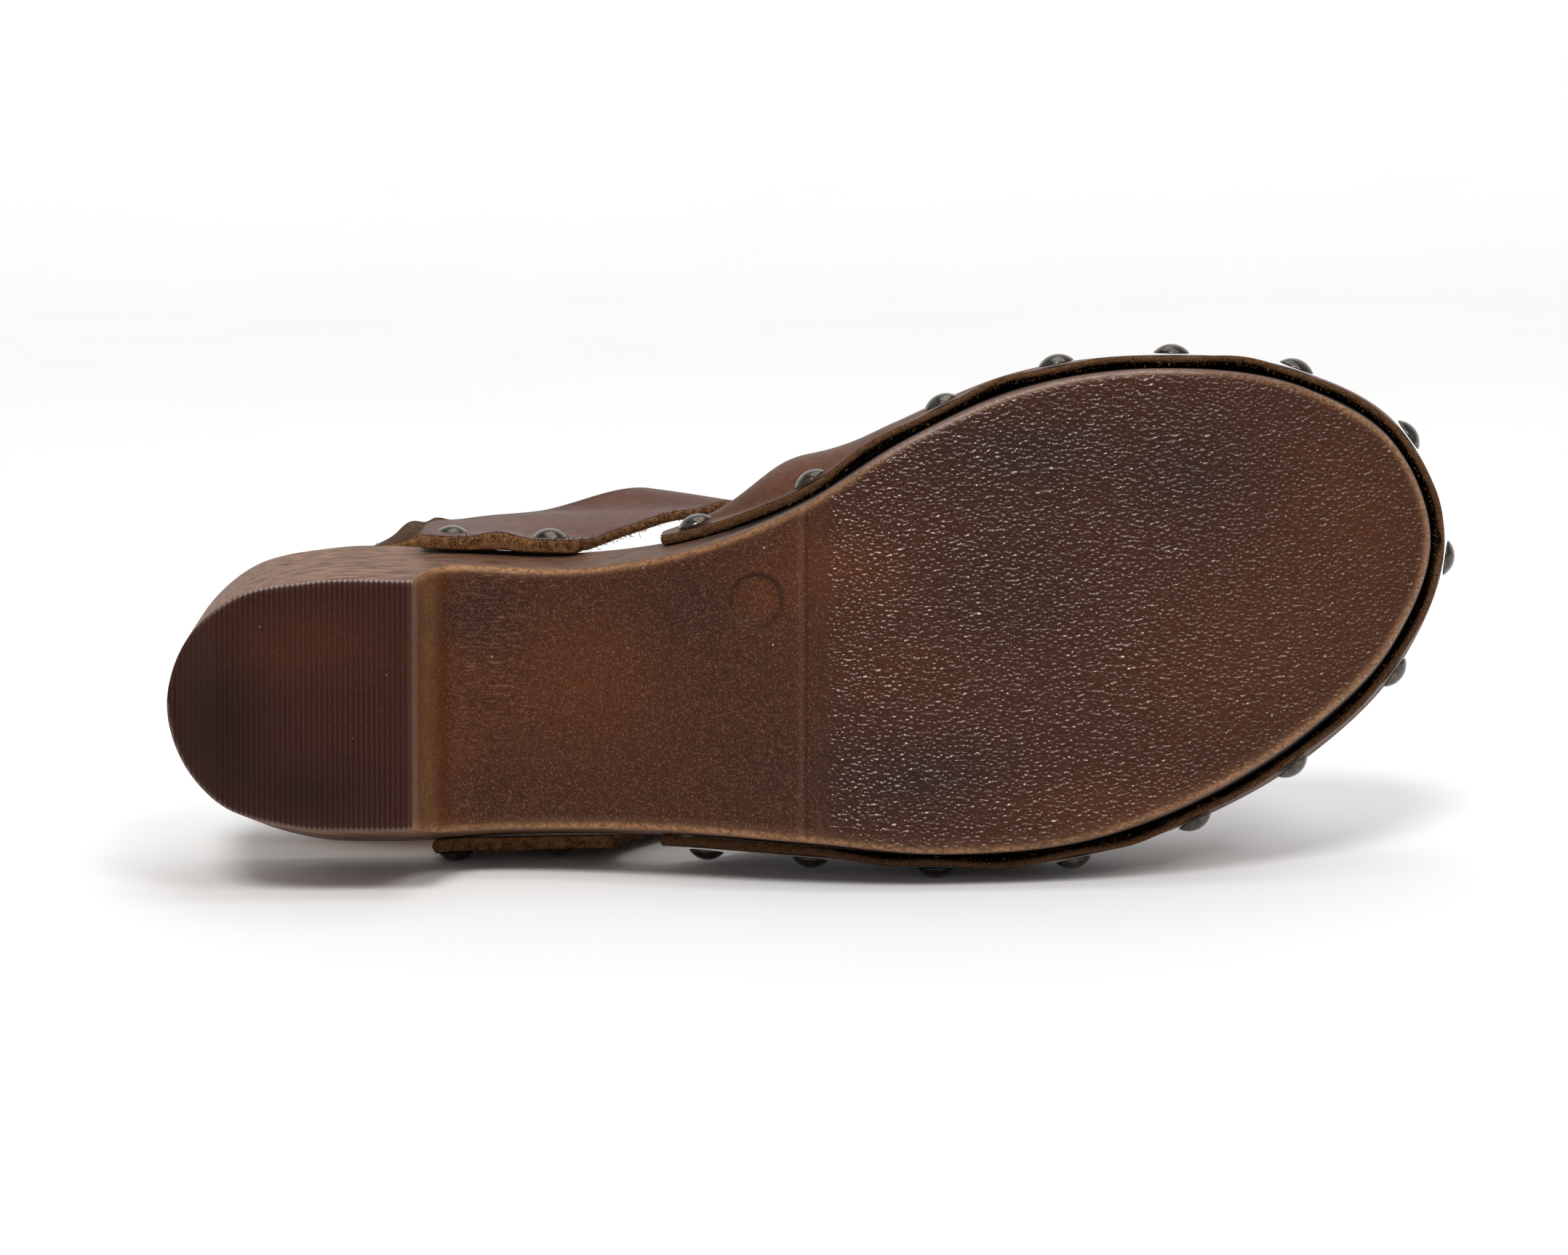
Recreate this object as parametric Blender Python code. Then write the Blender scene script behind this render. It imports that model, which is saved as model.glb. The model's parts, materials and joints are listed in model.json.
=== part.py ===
"""Left clog sandal: moulded sole, insole, studded vamp, ear strap, back strap and dome studs.

The shoe is worked out in its own frame, in millimetres: x runs from heel to toe along the straight
outer side, y points to the outer (little toe) side and z rises from the tread. An empty then lays
the whole shoe on its outer side, on the three points that carry it.
"""

import math

import bmesh
import bpy
import numpy as np
from mathutils import Matrix, Vector

MM = 0.001

# Driving sizes, in millimetres
LEATHER = 2.0
INSOLE = 1.6
GAP = 0.3
EDGE_ROUND = 1.6
BREAST_X = 52.4
BREAST_FILLET = 2.4
SPRING_FROM_X = 195.0
SPRING_TO_X = 250.0
TOE_SPRING = 9.0
SPRING_POWER = 1.6
INSOLE_INSET = 1.2
FULL_DISH_WIDTH = 30.0
VAMP_REAR_X = 100.0
EAR_FREE = 5.0
STUD_RADIUS = 3.5
STUD_HEIGHT = 1.8
STUD_ABOVE_EDGE = 4.3
STUD_GAP = 0.45

# How fine each piece is cut
OUTLINE_SAMPLES = 1440
SOLE_ROWS = 46
SOLE_COLUMNS = 9
VAMP_ROWS = 34
MARGIN_STEPS = 2
RIB_STEPS = 11
STRAP_STATIONS = 61
BACK_STATIONS = 49
STRAP_COLUMNS = 5
STUD_SIDES = 14
STUD_RINGS = 4
MOST_SWAPS = 100
LEVELLING_ROUNDS = 8

# Rows through the heel's fillet, in fillet sizes, and how suddenly a ring's ends ease to its tips
FILLET_ROWS = np.array([0.0, 0.25, 0.6, 1.1, 1.9, 3.4])
FILLET_CLEAR = 2.0
TIP_POWER = 6

# Points nearer than this are one point, shorter edges are dropped, sharper edges are creases
MERGE = 0.02
SLIVER = 0.001
CREASE = math.radians(35)

# Start of the search for floor points, in metres: how far out, what counts as on the floor, as a line
FAR = 10.0
ON_FLOOR = 1e-7
ON_A_LINE = 1e-12

# Weights for each millimetre cubed, to find the balance of the lying shoe
SOLE_DENSITY = 600
LEATHER_DENSITY = 900
STUD_DENSITY = 7850

# Degrees that the tread faces upwards when the shoe is put down
FIRST_LEAN = 6.0


def table(columns, *rows):
    """Columns of numbers by name, from a row for each section or landmark."""
    return dict(zip(columns.split(), np.array(rows, float).T))


# Edge of the tread seen from above, from the back of the heel along the inner side to the toe and
# back along the outer side, and how far the foot-bed's edge stands outside it
OUTLINE = table(
    "x y flare",
    (4.4, 0.0, 4.4),
    (8.0, -12.3, 4.8),
    (17.5, -21.0, 5.6),
    (32.0, -24.1, 6.0),
    (52.0, -24.4, 6.0),
    (85.0, -24.2, 5.2),
    (110.0, -30.6, 2.8),
    (128.0, -38.6, 1.4),
    (148.0, -51.2, 0.9),
    (170.0, -61.0, 1.4),
    (198.0, -65.3, 1.2),
    (226.8, -60.9, 2.6),
    (242.4, -51.0, 4.4),
    (249.8, -33.0, 5.6),
    (242.5, -12.3, 5.6),
    (226.6, 4.2, 5.2),
    (205.6, 17.7, 4.2),
    (184.0, 26.0, 3.0),
    (156.0, 29.0, 2.0),
    (128.0, 26.6, 2.8),
    (99.0, 23.9, 4.2),
    (70.0, 23.2, 5.4),
    (43.0, 24.4, 6.0),
    (28.5, 23.7, 6.0),
    (14.3, 19.0, 5.4),
    (7.2, 10.6, 4.8),
)

# Underside of the waist, from the heel's front face to the forefoot
WAIST = table(
    "x height",
    (50.0, 20.5),
    (64.0, 19.8),
    (77.0, 17.8),
    (92.0, 13.2),
    (106.0, 8.2),
    (120.0, 4.0),
    (133.0, 1.2),
    (145.0, 0.0),
    (160.0, 0.0),
)

# Foot-bed: height of its edge above the tread, and how deep it is dished
BED = table(
    "x height dish",
    (-5.0, 45.2, 2.0),
    (20.0, 44.6, 4.2),
    (50.0, 43.4, 4.2),
    (75.0, 39.6, 3.4),
    (100.0, 33.4, 2.6),
    (125.0, 26.8, 2.0),
    (150.0, 22.8, 1.6),
    (175.0, 21.8, 1.5),
    (200.0, 22.2, 1.5),
    (225.0, 24.4, 1.2),
    (256.0, 30.6, 0.8),
)

# How far the vamp's margin laps down the side of the sole
LAP = table("x depth", (95.0, 7.0), (112.0, 7.6), (130.0, 9.6), (155.0, 11.2), (260.0, 10.4))

# Ridge along the top of the vamp, from the throat to the toe
RIDGE = table(
    "x y z",
    (146.0, -12.0, 79.0),
    (165.0, -15.5, 70.5),
    (185.0, -19.5, 62.5),
    (205.0, -24.0, 56.0),
    (222.0, -28.0, 50.5),
)

# Ribs of the vamp from the throat (0) to the toe (1): where each stands on the ridge, how it leaves
# the sole on either side (out, up and forward), and how wide it bends at the ridge
RIBS = table(
    "at ridge_x bulge_in bulge_out rise lean crown",
    (0.00, 146.0, 9.0, 3.0, 13.0, 26.0, 25.0),
    (0.12, 152.0, 23.0, 1.5, 19.0, 9.0, 25.0),
    (0.25, 160.0, 11.0, 0.5, 22.0, 4.0, 24.0),
    (0.50, 181.0, 3.0, 1.0, 20.0, 1.0, 22.0),
    (0.75, 204.0, 3.0, 6.5, 16.0, 0.0, 16.0),
    (1.00, 222.0, 3.5, 3.5, 14.0, 0.0, 14.0),
)

# Outer face of the strap from the inner ear over the instep to the outer ear: its front and rear edges
STRAP = table(
    "front_x front_y front_z rear_x rear_y rear_z",
    (83.0, -31.0, 35.0, 50.6, -31.6, 36.4),
    (86.0, -32.2, 45.0, 51.4, -33.8, 52.0),
    (94.0, -35.4, 56.0, 58.0, -35.8, 66.0),
    (104.0, -39.0, 67.0, 72.0, -37.8, 79.0),
    (115.0, -38.8, 79.0, 89.0, -41.2, 91.0),
    (124.0, -29.0, 89.0, 103.0, -32.0, 101.0),
    (128.0, -7.0, 95.0, 108.0, -7.5, 107.5),
    (125.0, 14.0, 90.0, 104.0, 15.0, 101.5),
    (116.0, 26.0, 79.0, 92.0, 27.6, 90.5),
    (106.0, 28.4, 67.0, 75.0, 28.8, 78.0),
    (98.0, 29.8, 56.0, 61.0, 30.4, 65.0),
    (91.5, 30.6, 45.0, 54.2, 31.4, 52.0),
    (89.5, 30.2, 34.6, 53.2, 31.0, 36.4),
)

# Outer face of the back strap from the inner ear round the heel to the outer ear: its two edges
BACK_STRAP = table(
    "low_x low_y low_z high_x high_y high_z",
    (68.0, -32.0, 57.0, 71.0, -34.0, 73.0),
    (58.0, -32.0, 57.0, 60.0, -33.2, 73.5),
    (46.0, -31.4, 58.0, 48.0, -32.2, 74.5),
    (32.0, -27.8, 60.0, 33.5, -28.4, 76.0),
    (17.0, -18.6, 61.5, 18.0, -18.8, 77.0),
    (9.4, 0.0, 62.0, 10.0, 0.0, 77.5),
    (17.0, 18.2, 61.5, 18.0, 18.0, 77.0),
    (33.0, 26.0, 60.0, 34.5, 25.8, 76.0),
    (47.0, 27.6, 58.0, 49.0, 26.6, 74.5),
    (60.0, 27.6, 57.0, 62.0, 26.4, 73.5),
    (70.0, 27.0, 57.0, 73.0, 25.6, 73.0),
)

# Nail heads along the vamp's margin, from the inner rear tab round the toe to the outer rear tab
MARGIN_STUDS = table(
    "x y",
    (106.7, -33.9),
    (129.1, -44.6),
    (155.1, -59.7),
    (178.1, -67.3),
    (200.9, -68.6),
    (226.0, -65.8),
    (250.7, -54.1),
    (257.6, -28.1),
    (246.6, -5.2),
    (225.9, 13.6),
    (206.1, 23.9),
    (182.0, 32.4),
    (154.5, 33.6),
    (129.9, 32.2),
    (108.9, 31.6),
)

# Nail heads on the ears
EAR_STUDS = table("x y z", (56.6, -33.0, 40.8), (76.6, -33.0, 39.8), (57.4, 33.0, 40.8), (78.4, 33.0, 39.8))


def smooth(at, knots, values):
    """Cubic curve through values at rising knots, each slope taken from the neighbours."""
    slopes = np.gradient(values, knots, axis=0)
    span = np.clip(np.searchsorted(knots, at) - 1, 0, len(knots) - 2)
    width = knots[span + 1] - knots[span]
    t = np.clip((at - knots[span]) / width, 0.0, 1.0)
    if values.ndim > 1:
        t = t[..., None]
        width = width[..., None]
    start = (1 + 2 * t) * (1 - t) ** 2 * values[span] + t * (1 - t) ** 2 * width * slopes[span]
    end = t**2 * (3 - 2 * t) * values[span + 1] + t**2 * (t - 1) * width * slopes[span + 1]
    return start + end


def columns_of(rows, *names):
    """Some columns of a table side by side, a row for each section."""
    return np.stack([rows[name] for name in names], axis=-1)


def along(points):
    """Distance run along a line of points, from 0 at its first point."""
    steps = np.linalg.norm(np.diff(points, axis=0), axis=1)
    return np.concatenate([[0.0], np.cumsum(steps)])


def unit(vectors):
    """Vectors brought to length 1."""
    return vectors / np.linalg.norm(vectors, axis=-1, keepdims=True)


def closed_outline():
    """Tread edge, flare and outward normal at many places round the sole."""
    rows = columns_of(OUTLINE, "x", "y", "flare")
    wrapped = np.concatenate([rows[-3:], rows, rows[:4]])
    run = along(wrapped[:, :2])
    at = np.linspace(run[3], run[3 + len(rows)], OUTLINE_SAMPLES, endpoint=False)
    curve = smooth(at, run, wrapped)
    edge = curve[:, :2]
    ahead = np.roll(edge, -1, axis=0) - np.roll(edge, 1, axis=0)
    return edge, curve[:, 2], unit(np.stack([ahead[:, 1], -ahead[:, 0]], axis=-1))


EDGE, FLARE, OUTWARD = closed_outline()


def bed_height(x):
    """Height of the foot-bed's edge above the tread."""
    return smooth(x, BED["x"], BED["height"])


def bottom_height(x):
    """Height of the underside: flat heel, fillet into the waist, flat forefoot, toe spring."""
    fillet = 1 - np.exp(-np.maximum(x - BREAST_X, 0.0) / BREAST_FILLET)
    waist = smooth(x, WAIST["x"], WAIST["height"]) * fillet
    rise = np.maximum(x - SPRING_FROM_X, 0.0) / (SPRING_TO_X - SPRING_FROM_X)
    return waist + TOE_SPRING * rise**SPRING_POWER


def wall_ring(height, clear=0.0):
    """Line round the side of the sole at a height above the tread, clear of it by a distance."""
    out = FLARE * height / bed_height(EDGE[:, 0]) + clear
    ring = EDGE + OUTWARD * out[:, None]
    return np.column_stack([ring, np.broadcast_to(height, len(ring))])


def two_sides(ring):
    """Inner and outer half of a ring, each from the heel to the toe."""
    start = np.argmin(ring[:, 0])
    ring = np.roll(ring, -start, axis=0)
    toe = np.argmax(ring[:, 0])
    first = ring[: toe + 1]
    second = np.concatenate([ring[:1], ring[:toe - 1 : -1]])
    return (first, second) if first[:, 1].min() < second[:, 1].min() else (second, first)


def sole_rows():
    """Places of the sole's cross-sections: close at both ends and at the front face of the heel."""
    turn = np.linspace(0.0, math.pi, SOLE_ROWS)
    ends = EDGE[:, 0].min(), EDGE[:, 0].max()
    rows = ends[0] + (ends[1] - ends[0]) * (1 - np.cos(turn)) / 2
    fillet = BREAST_X + BREAST_FILLET * FILLET_ROWS
    away = (rows < fillet[0] - FILLET_CLEAR) | (rows > fillet[-1] + FILLET_CLEAR)
    return np.sort(np.concatenate([rows[away], fillet]))


ROWS = sole_rows()


def side_at_rows(ring):
    """Inner and outer points of a ring at the sole's cross-sections, its ends eased to its own tips."""
    share = (ROWS - ROWS[0]) / (ROWS[-1] - ROWS[0])
    sides = two_sides(ring)
    tips = sides[0][0, 0], sides[0][-1, 0]
    x = ROWS + (tips[0] - ROWS[0]) * (1 - share) ** TIP_POWER
    x = x + (tips[1] - ROWS[-1]) * share**TIP_POWER
    found = []
    for side in sides:
        y = np.interp(x, side[:, 0], side[:, 1])
        z = np.interp(x, side[:, 0], side[:, 2])
        found.append(np.stack([x, y, z], axis=-1))
    middle = (found[0] + found[1]) / 2
    for end in (0, -1):
        found[0][end] = middle[end]
        found[1][end] = middle[end]
    return found


def across(inner, outer, drop):
    """Grid of points between two sides, sunk towards the middle by a dish."""
    share = np.linspace(0.0, 1.0, SOLE_COLUMNS)[None, :, None]
    grid = inner[:, None] * (1 - share) + outer[:, None] * share
    width = np.linalg.norm(outer - inner, axis=1)
    sunk = drop * np.clip(width / FULL_DISH_WIDTH, 0.0, 1.0)
    grid[..., 2] -= sunk[:, None] * (1 - (2 * share[..., 0] - 1) ** 2)
    return grid


def bed_grid(inset, lift):
    """Foot-bed surface drawn in from its edge and lifted, with its dish."""
    height = bed_height(EDGE[:, 0])
    ring = wall_ring(height, -inset)
    ring[:, 2] += lift
    inner, outer = side_at_rows(ring)
    dish = smooth(inner[:, 0], BED["x"], BED["dish"])
    return across(inner, outer, dish)


def grid_faces(rows, columns, first=0):
    """Four-cornered faces of a grid of points that is stored row by row."""
    corner = first + np.arange(rows - 1)[:, None] * columns + np.arange(columns - 1)[None, :]
    faces = np.stack([corner, corner + 1, corner + columns + 1, corner + columns], axis=-1)
    return faces.reshape(-1, 4)


def band_faces(one, other):
    """Faces between two lines of point numbers of equal length."""
    return np.stack([one[:-1], one[1:], other[1:], other[:-1]], axis=-1)


def wall_solid(face, back, folded=False):
    """Closed solid between two grids of the same size. A folded grid meets itself in its last row."""
    rows, columns = face.shape[:2]
    count = rows * columns
    number = np.arange(count).reshape(rows, columns)
    rims = [number[0], number[:, 0], number[:, -1]]
    if not folded:
        rims.append(number[-1])
    faces = [grid_faces(rows, columns), grid_faces(rows, columns, count)[:, ::-1]]
    faces += [band_faces(rim, rim + count) for rim in rims]
    return np.concatenate([face.reshape(-1, 3), back.reshape(-1, 3)]), np.concatenate(faces)


def ring_solid(rings):
    """Closed solid through rings of points that run round each cross-section."""
    rows, count = rings.shape[:2]
    closed = np.concatenate([rings, rings[:, :1]], axis=1)
    return closed.reshape(-1, 3), grid_faces(rows, count + 1)


def sole_solid():
    """Tread, rounded lower edge, flared side and dished foot-bed, section by section."""
    low = bottom_height(EDGE[:, 0])
    tread_in, tread_out = side_at_rows(wall_ring(low, -EDGE_ROUND))
    side_in, side_out = side_at_rows(wall_ring(low + EDGE_ROUND))
    for line, lift in ((tread_in, 0), (tread_out, 0), (side_in, EDGE_ROUND), (side_out, EDGE_ROUND)):
        line[:, 2] = bottom_height(ROWS) + lift
    tread = across(tread_in, tread_out, np.zeros(len(ROWS)))
    bed = bed_grid(0.0, 0.0)
    return ring_solid(np.concatenate([tread, side_out[:, None], bed[:, ::-1], side_in[:, None]], axis=1))


def insole_solid():
    """Sock that lies on the foot-bed."""
    return wall_solid(bed_grid(INSOLE_INSET, GAP + INSOLE), bed_grid(INSOLE_INSET, GAP))


def grid_normals(grid):
    """Unit normals of a grid of points."""
    return unit(np.cross(np.gradient(grid, axis=0), np.gradient(grid, axis=1)))


def margin_depth(x):
    """How far the vamp's margin laps down the sole."""
    return smooth(x, LAP["x"], LAP["depth"])


def margin_ring(lift):
    """Line on the outside of the vamp's margin, a height above its lower edge."""
    height = bed_height(EDGE[:, 0]) - margin_depth(EDGE[:, 0]) + lift
    return wall_ring(height, GAP + LEATHER)


def from_rear(side, share):
    """Points along one half of a ring by their share of the way from the vamp's rear to the toe."""
    run = along(side[:, :2])
    start = np.interp(VAMP_REAR_X, side[:, 0], run)
    at = start + (run[-1] - start) * share
    return np.stack([np.interp(at, run, side[:, k]) for k in range(side.shape[1])], axis=-1)


def vamp_side(inner):
    """Ribs of one half of the vamp, each from the margin's lower edge up to the ridge."""
    share = np.linspace(0.0, 1.0, VAMP_ROWS)
    bed = bed_height(EDGE[:, 0])
    low = margin_ring(np.zeros(len(EDGE)))
    foot = np.column_stack([wall_ring(bed, GAP + LEATHER), OUTWARD])
    pick = 0 if inner else 1
    low = from_rear(two_sides(low)[pick], share)
    foot = from_rear(two_sides(foot)[pick], share)
    out = unit(foot[:, 3:])
    foot = foot[:, :3]
    rib = {name: smooth(share, RIBS["at"], RIBS[name]) for name in RIBS}
    ridge = np.column_stack(
        [rib["ridge_x"]] + [smooth(rib["ridge_x"], RIDGE["x"], RIDGE[name]) for name in ("y", "z")]
    )
    slope = np.gradient(ridge[:, 2], ridge[:, 0])
    bulge = rib["bulge_in"] if inner else rib["bulge_out"]
    knee = foot + np.column_stack([out * bulge[:, None], rib["rise"]])
    knee[:, 0] += rib["lean"]
    turn = math.pi / 2 * (1 - share**2)
    side = -np.sin(turn) if inner else np.sin(turn)
    crown = ridge + rib["crown"][:, None] * np.column_stack([np.cos(turn), side, slope * np.cos(turn)])
    t = np.linspace(0.0, 1.0, RIB_STEPS)[None, :, None]
    points = [foot[:, None], knee[:, None], crown[:, None], ridge[:, None]]
    rise = points[0] * (1 - t) ** 3 + points[1] * 3 * t * (1 - t) ** 2
    rise = rise + points[2] * 3 * t**2 * (1 - t) + points[3] * t**3
    step = np.linspace(0.0, 1.0, MARGIN_STEPS, endpoint=False)[None, :, None]
    margin = low[:, None] * (1 - step) + foot[:, None] * step
    return np.concatenate([margin, rise], axis=1)


def joined_halves(inner_side, outer_side):
    """One grid from two halves that share the ridge."""
    return np.concatenate([inner_side, outer_side[:, -2::-1]], axis=1)


def vamp_solid():
    """Both halves joined along the ridge and at the toe, with the leather's wall inside."""
    halves = [vamp_side(True), vamp_side(False)]
    toe = (halves[0][-1] + halves[1][-1]) / 2
    normals = []
    for half in halves:
        half[-1] = toe
        normal = np.cross(np.gradient(half, axis=0), np.gradient(half, axis=1))
        # at the end of the ridge the ridge and the toe's rib run the same way
        normal[-1, -1] = normal[-2, -1]
        normals.append(unit(normal) * np.sign(normal[..., 2].sum()))
    ridge_normal = unit(normals[0][:, -1] + normals[1][:, -1])
    toe_normal = unit(normals[0][-1] + normals[1][-1])
    for normal in normals:
        normal[:, -1] = ridge_normal
        normal[-1] = toe_normal
    face = joined_halves(*halves)
    return wall_solid(face, face - LEATHER * joined_halves(*normals), folded=True)


def ribbon(rows, first, second, stations):
    """Grid of a band between two edges that run through a table's points."""
    one = columns_of(rows, *first)
    two = columns_of(rows, *second)
    run = along((one + two) / 2)
    at = np.linspace(0.0, run[-1], stations)
    share = np.linspace(0.0, 1.0, STRAP_COLUMNS)[None, :, None]
    return smooth(at, run, one)[:, None] * (1 - share) + smooth(at, run, two)[:, None] * share


def strap_grid():
    """Outer face of the ear strap, kept clear of the sole's side."""
    grid = ribbon(STRAP, ("front_x", "front_y", "front_z"), ("rear_x", "rear_y", "rear_z"), STRAP_STATIONS)
    edge_in, edge_out = two_sides(np.column_stack([EDGE, FLARE]))
    x = grid[..., 0]
    lift = np.minimum(grid[..., 2] / bed_height(x), 1.0)
    for side, sign in ((edge_in, -1.0), (edge_out, 1.0)):
        wall = np.interp(x, side[:, 0], np.abs(side[:, 1]))
        flare = np.interp(x, side[:, 0], side[:, 2])
        least = wall + flare * lift + GAP + LEATHER
        beside = (np.sign(grid[..., 1]) == sign) & (grid[..., 2] < bed_height(x) + EAR_FREE)
        grid[..., 1] = np.where(beside, sign * np.maximum(np.abs(grid[..., 1]), least), grid[..., 1])
    return grid


def outward(normal, grid):
    """Normals turned to point away from the middle of a band."""
    middle = grid.reshape(-1, 3).mean(axis=0)
    return normal if np.sum(normal * (grid - middle)) > 0 else -normal


def band_solid(grid):
    """Leather wall behind the outer face of a band."""
    return wall_solid(grid, grid - LEATHER * outward(grid_normals(grid), grid))


def back_strap_grid():
    """Outer face of the band round the heel."""
    return ribbon(BACK_STRAP, ("low_x", "low_y", "low_z"), ("high_x", "high_y", "high_z"), BACK_STATIONS)


def stud_seats():
    """Place and outward direction of each nail head on the leather."""
    ring = margin_ring(np.full(len(EDGE), STUD_ABOVE_EDGE))
    draft = np.arctan2(FLARE, bed_height(EDGE[:, 0]))
    facing = np.column_stack([OUTWARD * np.cos(draft)[:, None], -np.sin(draft)])
    seats = []
    for mark in columns_of(MARGIN_STUDS, "x", "y"):
        near = np.argmin(np.linalg.norm(ring[:, :2] - mark, axis=1))
        seats.append((ring[near], facing[near]))
    grid = strap_grid()
    normals = outward(grid_normals(grid), grid).reshape(-1, 3)
    points = grid.reshape(-1, 3)
    for mark in columns_of(EAR_STUDS, "x", "y", "z"):
        nearest = np.argsort(np.linalg.norm(points - mark, axis=1))[:4]
        facing_out = unit(normals[nearest].mean(axis=0))
        seat = mark + facing_out * np.dot(points[nearest] - mark, facing_out).max()
        seats.append((seat, facing_out))
    return seats


def stud_solid(seat, facing):
    """Shallow dome on a short rim, standing on its seat."""
    bow = (STUD_RADIUS**2 + STUD_HEIGHT**2) / (2 * STUD_HEIGHT)
    reach = np.linspace(math.asin(STUD_RADIUS / bow), 0.0, STUD_RINGS + 1)
    radius = np.concatenate([[0.0], bow * np.sin(reach)])
    height = np.concatenate([[0.0], bow * np.cos(reach) - bow + STUD_HEIGHT]) + STUD_GAP
    turn = np.linspace(0.0, 2 * math.pi, STUD_SIDES, endpoint=False)
    axis = Vector(facing)
    one = np.array(axis.orthogonal().normalized())
    two = np.cross(facing, one)
    round_about = np.cos(turn)[:, None] * one + np.sin(turn)[:, None] * two
    rings = seat + radius[:, None, None] * round_about + height[:, None, None] * facing
    return ring_solid(rings)


def finish(name, colour, roughness, metallic=0.0):
    """Plain material of one piece."""
    material = bpy.data.materials.new(name)
    material.use_nodes = True
    shader = material.node_tree.nodes["Principled BSDF"]
    shader.inputs["Base Color"].default_value = (*colour, 1.0)
    shader.inputs["Roughness"].default_value = roughness
    shader.inputs["Metallic"].default_value = metallic
    return material


def add_piece(name, solid, material, frame):
    """One named object under the shoe's empty, closed, with its faces pointing out."""
    points, faces = solid
    mesh = bpy.data.meshes.new(name)
    mesh.from_pydata((points * MM).tolist(), [], faces.tolist())
    work = bmesh.new()
    work.from_mesh(mesh)
    bmesh.ops.remove_doubles(work, verts=work.verts, dist=MERGE * MM)
    bmesh.ops.dissolve_degenerate(work, edges=work.edges, dist=SLIVER * MM)
    bmesh.ops.recalc_face_normals(work, faces=work.faces)
    bmesh.ops.triangulate(work, faces=work.faces)
    work.to_mesh(mesh)
    work.free()
    mesh.shade_smooth()
    mesh.set_sharp_from_angle(angle=CREASE)
    mesh.materials.append(material)
    piece = bpy.data.objects.new(name, mesh)
    bpy.context.scene.collection.objects.link(piece)
    piece.parent = frame
    return piece


def mass_and_moment(mesh, density):
    """Weight of a closed mesh and its weight times its centre."""
    mesh.calc_loop_triangles()
    corners = np.array([[mesh.vertices[i].co[:] for i in t.vertices] for t in mesh.loop_triangles])
    volume = np.einsum("ij,ij->i", corners[:, 0], np.cross(corners[:, 1], corners[:, 2])) / 6
    centre = corners.sum(axis=1) / 4
    return density * volume.sum(), density * (volume[:, None] * centre).sum(axis=0)


def shares(corners, centre):
    """Share of the weight at the centre that each of three floor points carries."""
    flat = np.column_stack([corners[:, :2], np.ones(3)])
    if abs(np.linalg.det(flat)) < ON_A_LINE:
        return np.full(3, -np.inf)
    return np.linalg.solve(flat.T, np.array([centre[0], centre[1], 1.0]))


def supports(points, centre):
    """The three points that carry the centre: the lowest point is swapped in until none lies lower."""
    corners = np.array([[-FAR, -FAR, FAR], [FAR, -FAR, FAR], [0.0, FAR, FAR]])
    for _ in range(MOST_SWAPS):
        flat = np.column_stack([corners[:, :2], np.ones(3)])
        plane = np.linalg.solve(flat, corners[:, 2])
        below = points[:, 2] - points[:, :2] @ plane[:2] - plane[2]
        lowest = np.argmin(below)
        if below[lowest] > -ON_FLOOR:
            break
        trials = np.repeat(corners[None], 3, axis=0)
        trials[range(3), range(3)] = points[lowest]
        corners = max(trials, key=lambda trial: shares(trial, centre).min())
    return corners


def lying_pose(points, centre):
    """Matrix that lays the shoe on its outer side, heel to toe along X, its box centred on the floor."""
    turn = Matrix.Rotation(math.radians(-90 - FIRST_LEAN), 3, "X")
    for _ in range(LEVELLING_ROUNDS):
        grid = np.array(turn)
        a, b, c = supports(points @ grid.T, grid @ centre)
        up = Vector(np.cross(b - a, c - a)).normalized()
        if up.z < 0:
            up.negate()
        turn = up.rotation_difference(Vector((0, 0, 1))).to_matrix() @ turn
    heading = turn @ Vector((1, 0, 0))
    turn = Matrix.Rotation(-math.atan2(heading.y, heading.x), 3, "Z") @ turn
    placed = points @ np.array(turn).T
    low, high = placed.min(axis=0), placed.max(axis=0)
    shift = Vector((-(low[0] + high[0]) / 2, -(low[1] + high[1]) / 2, -low[2]))
    return Matrix.Translation(shift) @ turn.to_4x4()


def main():
    for old in list(bpy.data.objects):
        bpy.data.objects.remove(old)
    frame = bpy.data.objects.new("shoe", None)
    bpy.context.scene.collection.objects.link(frame)
    leather = finish("brown leather", (0.135, 0.062, 0.035), 0.5)
    suede = finish("rough side of the leather", (0.150, 0.085, 0.045), 0.9)
    wood_look = finish("wood-look sole", (0.095, 0.035, 0.017), 0.45)
    lining = finish("pale leather sock", (0.42, 0.27, 0.16), 0.7)
    nickel = finish("antique nickel", (0.30, 0.28, 0.25), 0.3, 1.0)
    pieces = [
        (add_piece("sole", sole_solid(), wood_look, frame), SOLE_DENSITY),
        (add_piece("insole", insole_solid(), lining, frame), LEATHER_DENSITY),
        (add_piece("vamp", vamp_solid(), leather, frame), LEATHER_DENSITY),
        (add_piece("strap", band_solid(strap_grid()), leather, frame), LEATHER_DENSITY),
        (add_piece("back_strap", band_solid(back_strap_grid()), suede, frame), LEATHER_DENSITY),
    ]
    for number, (seat, facing) in enumerate(stud_seats(), start=1):
        stud = add_piece(f"stud_{number:02d}", stud_solid(seat, facing), nickel, frame)
        pieces.append((stud, STUD_DENSITY))
    weighed = [mass_and_moment(piece.data, density) for piece, density in pieces]
    centre = sum(moment for _, moment in weighed) / sum(mass for mass, _ in weighed)
    points = np.array([v.co[:] for piece, _ in pieces for v in piece.data.vertices])
    frame.matrix_world = lying_pose(points, centre)


main()
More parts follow.
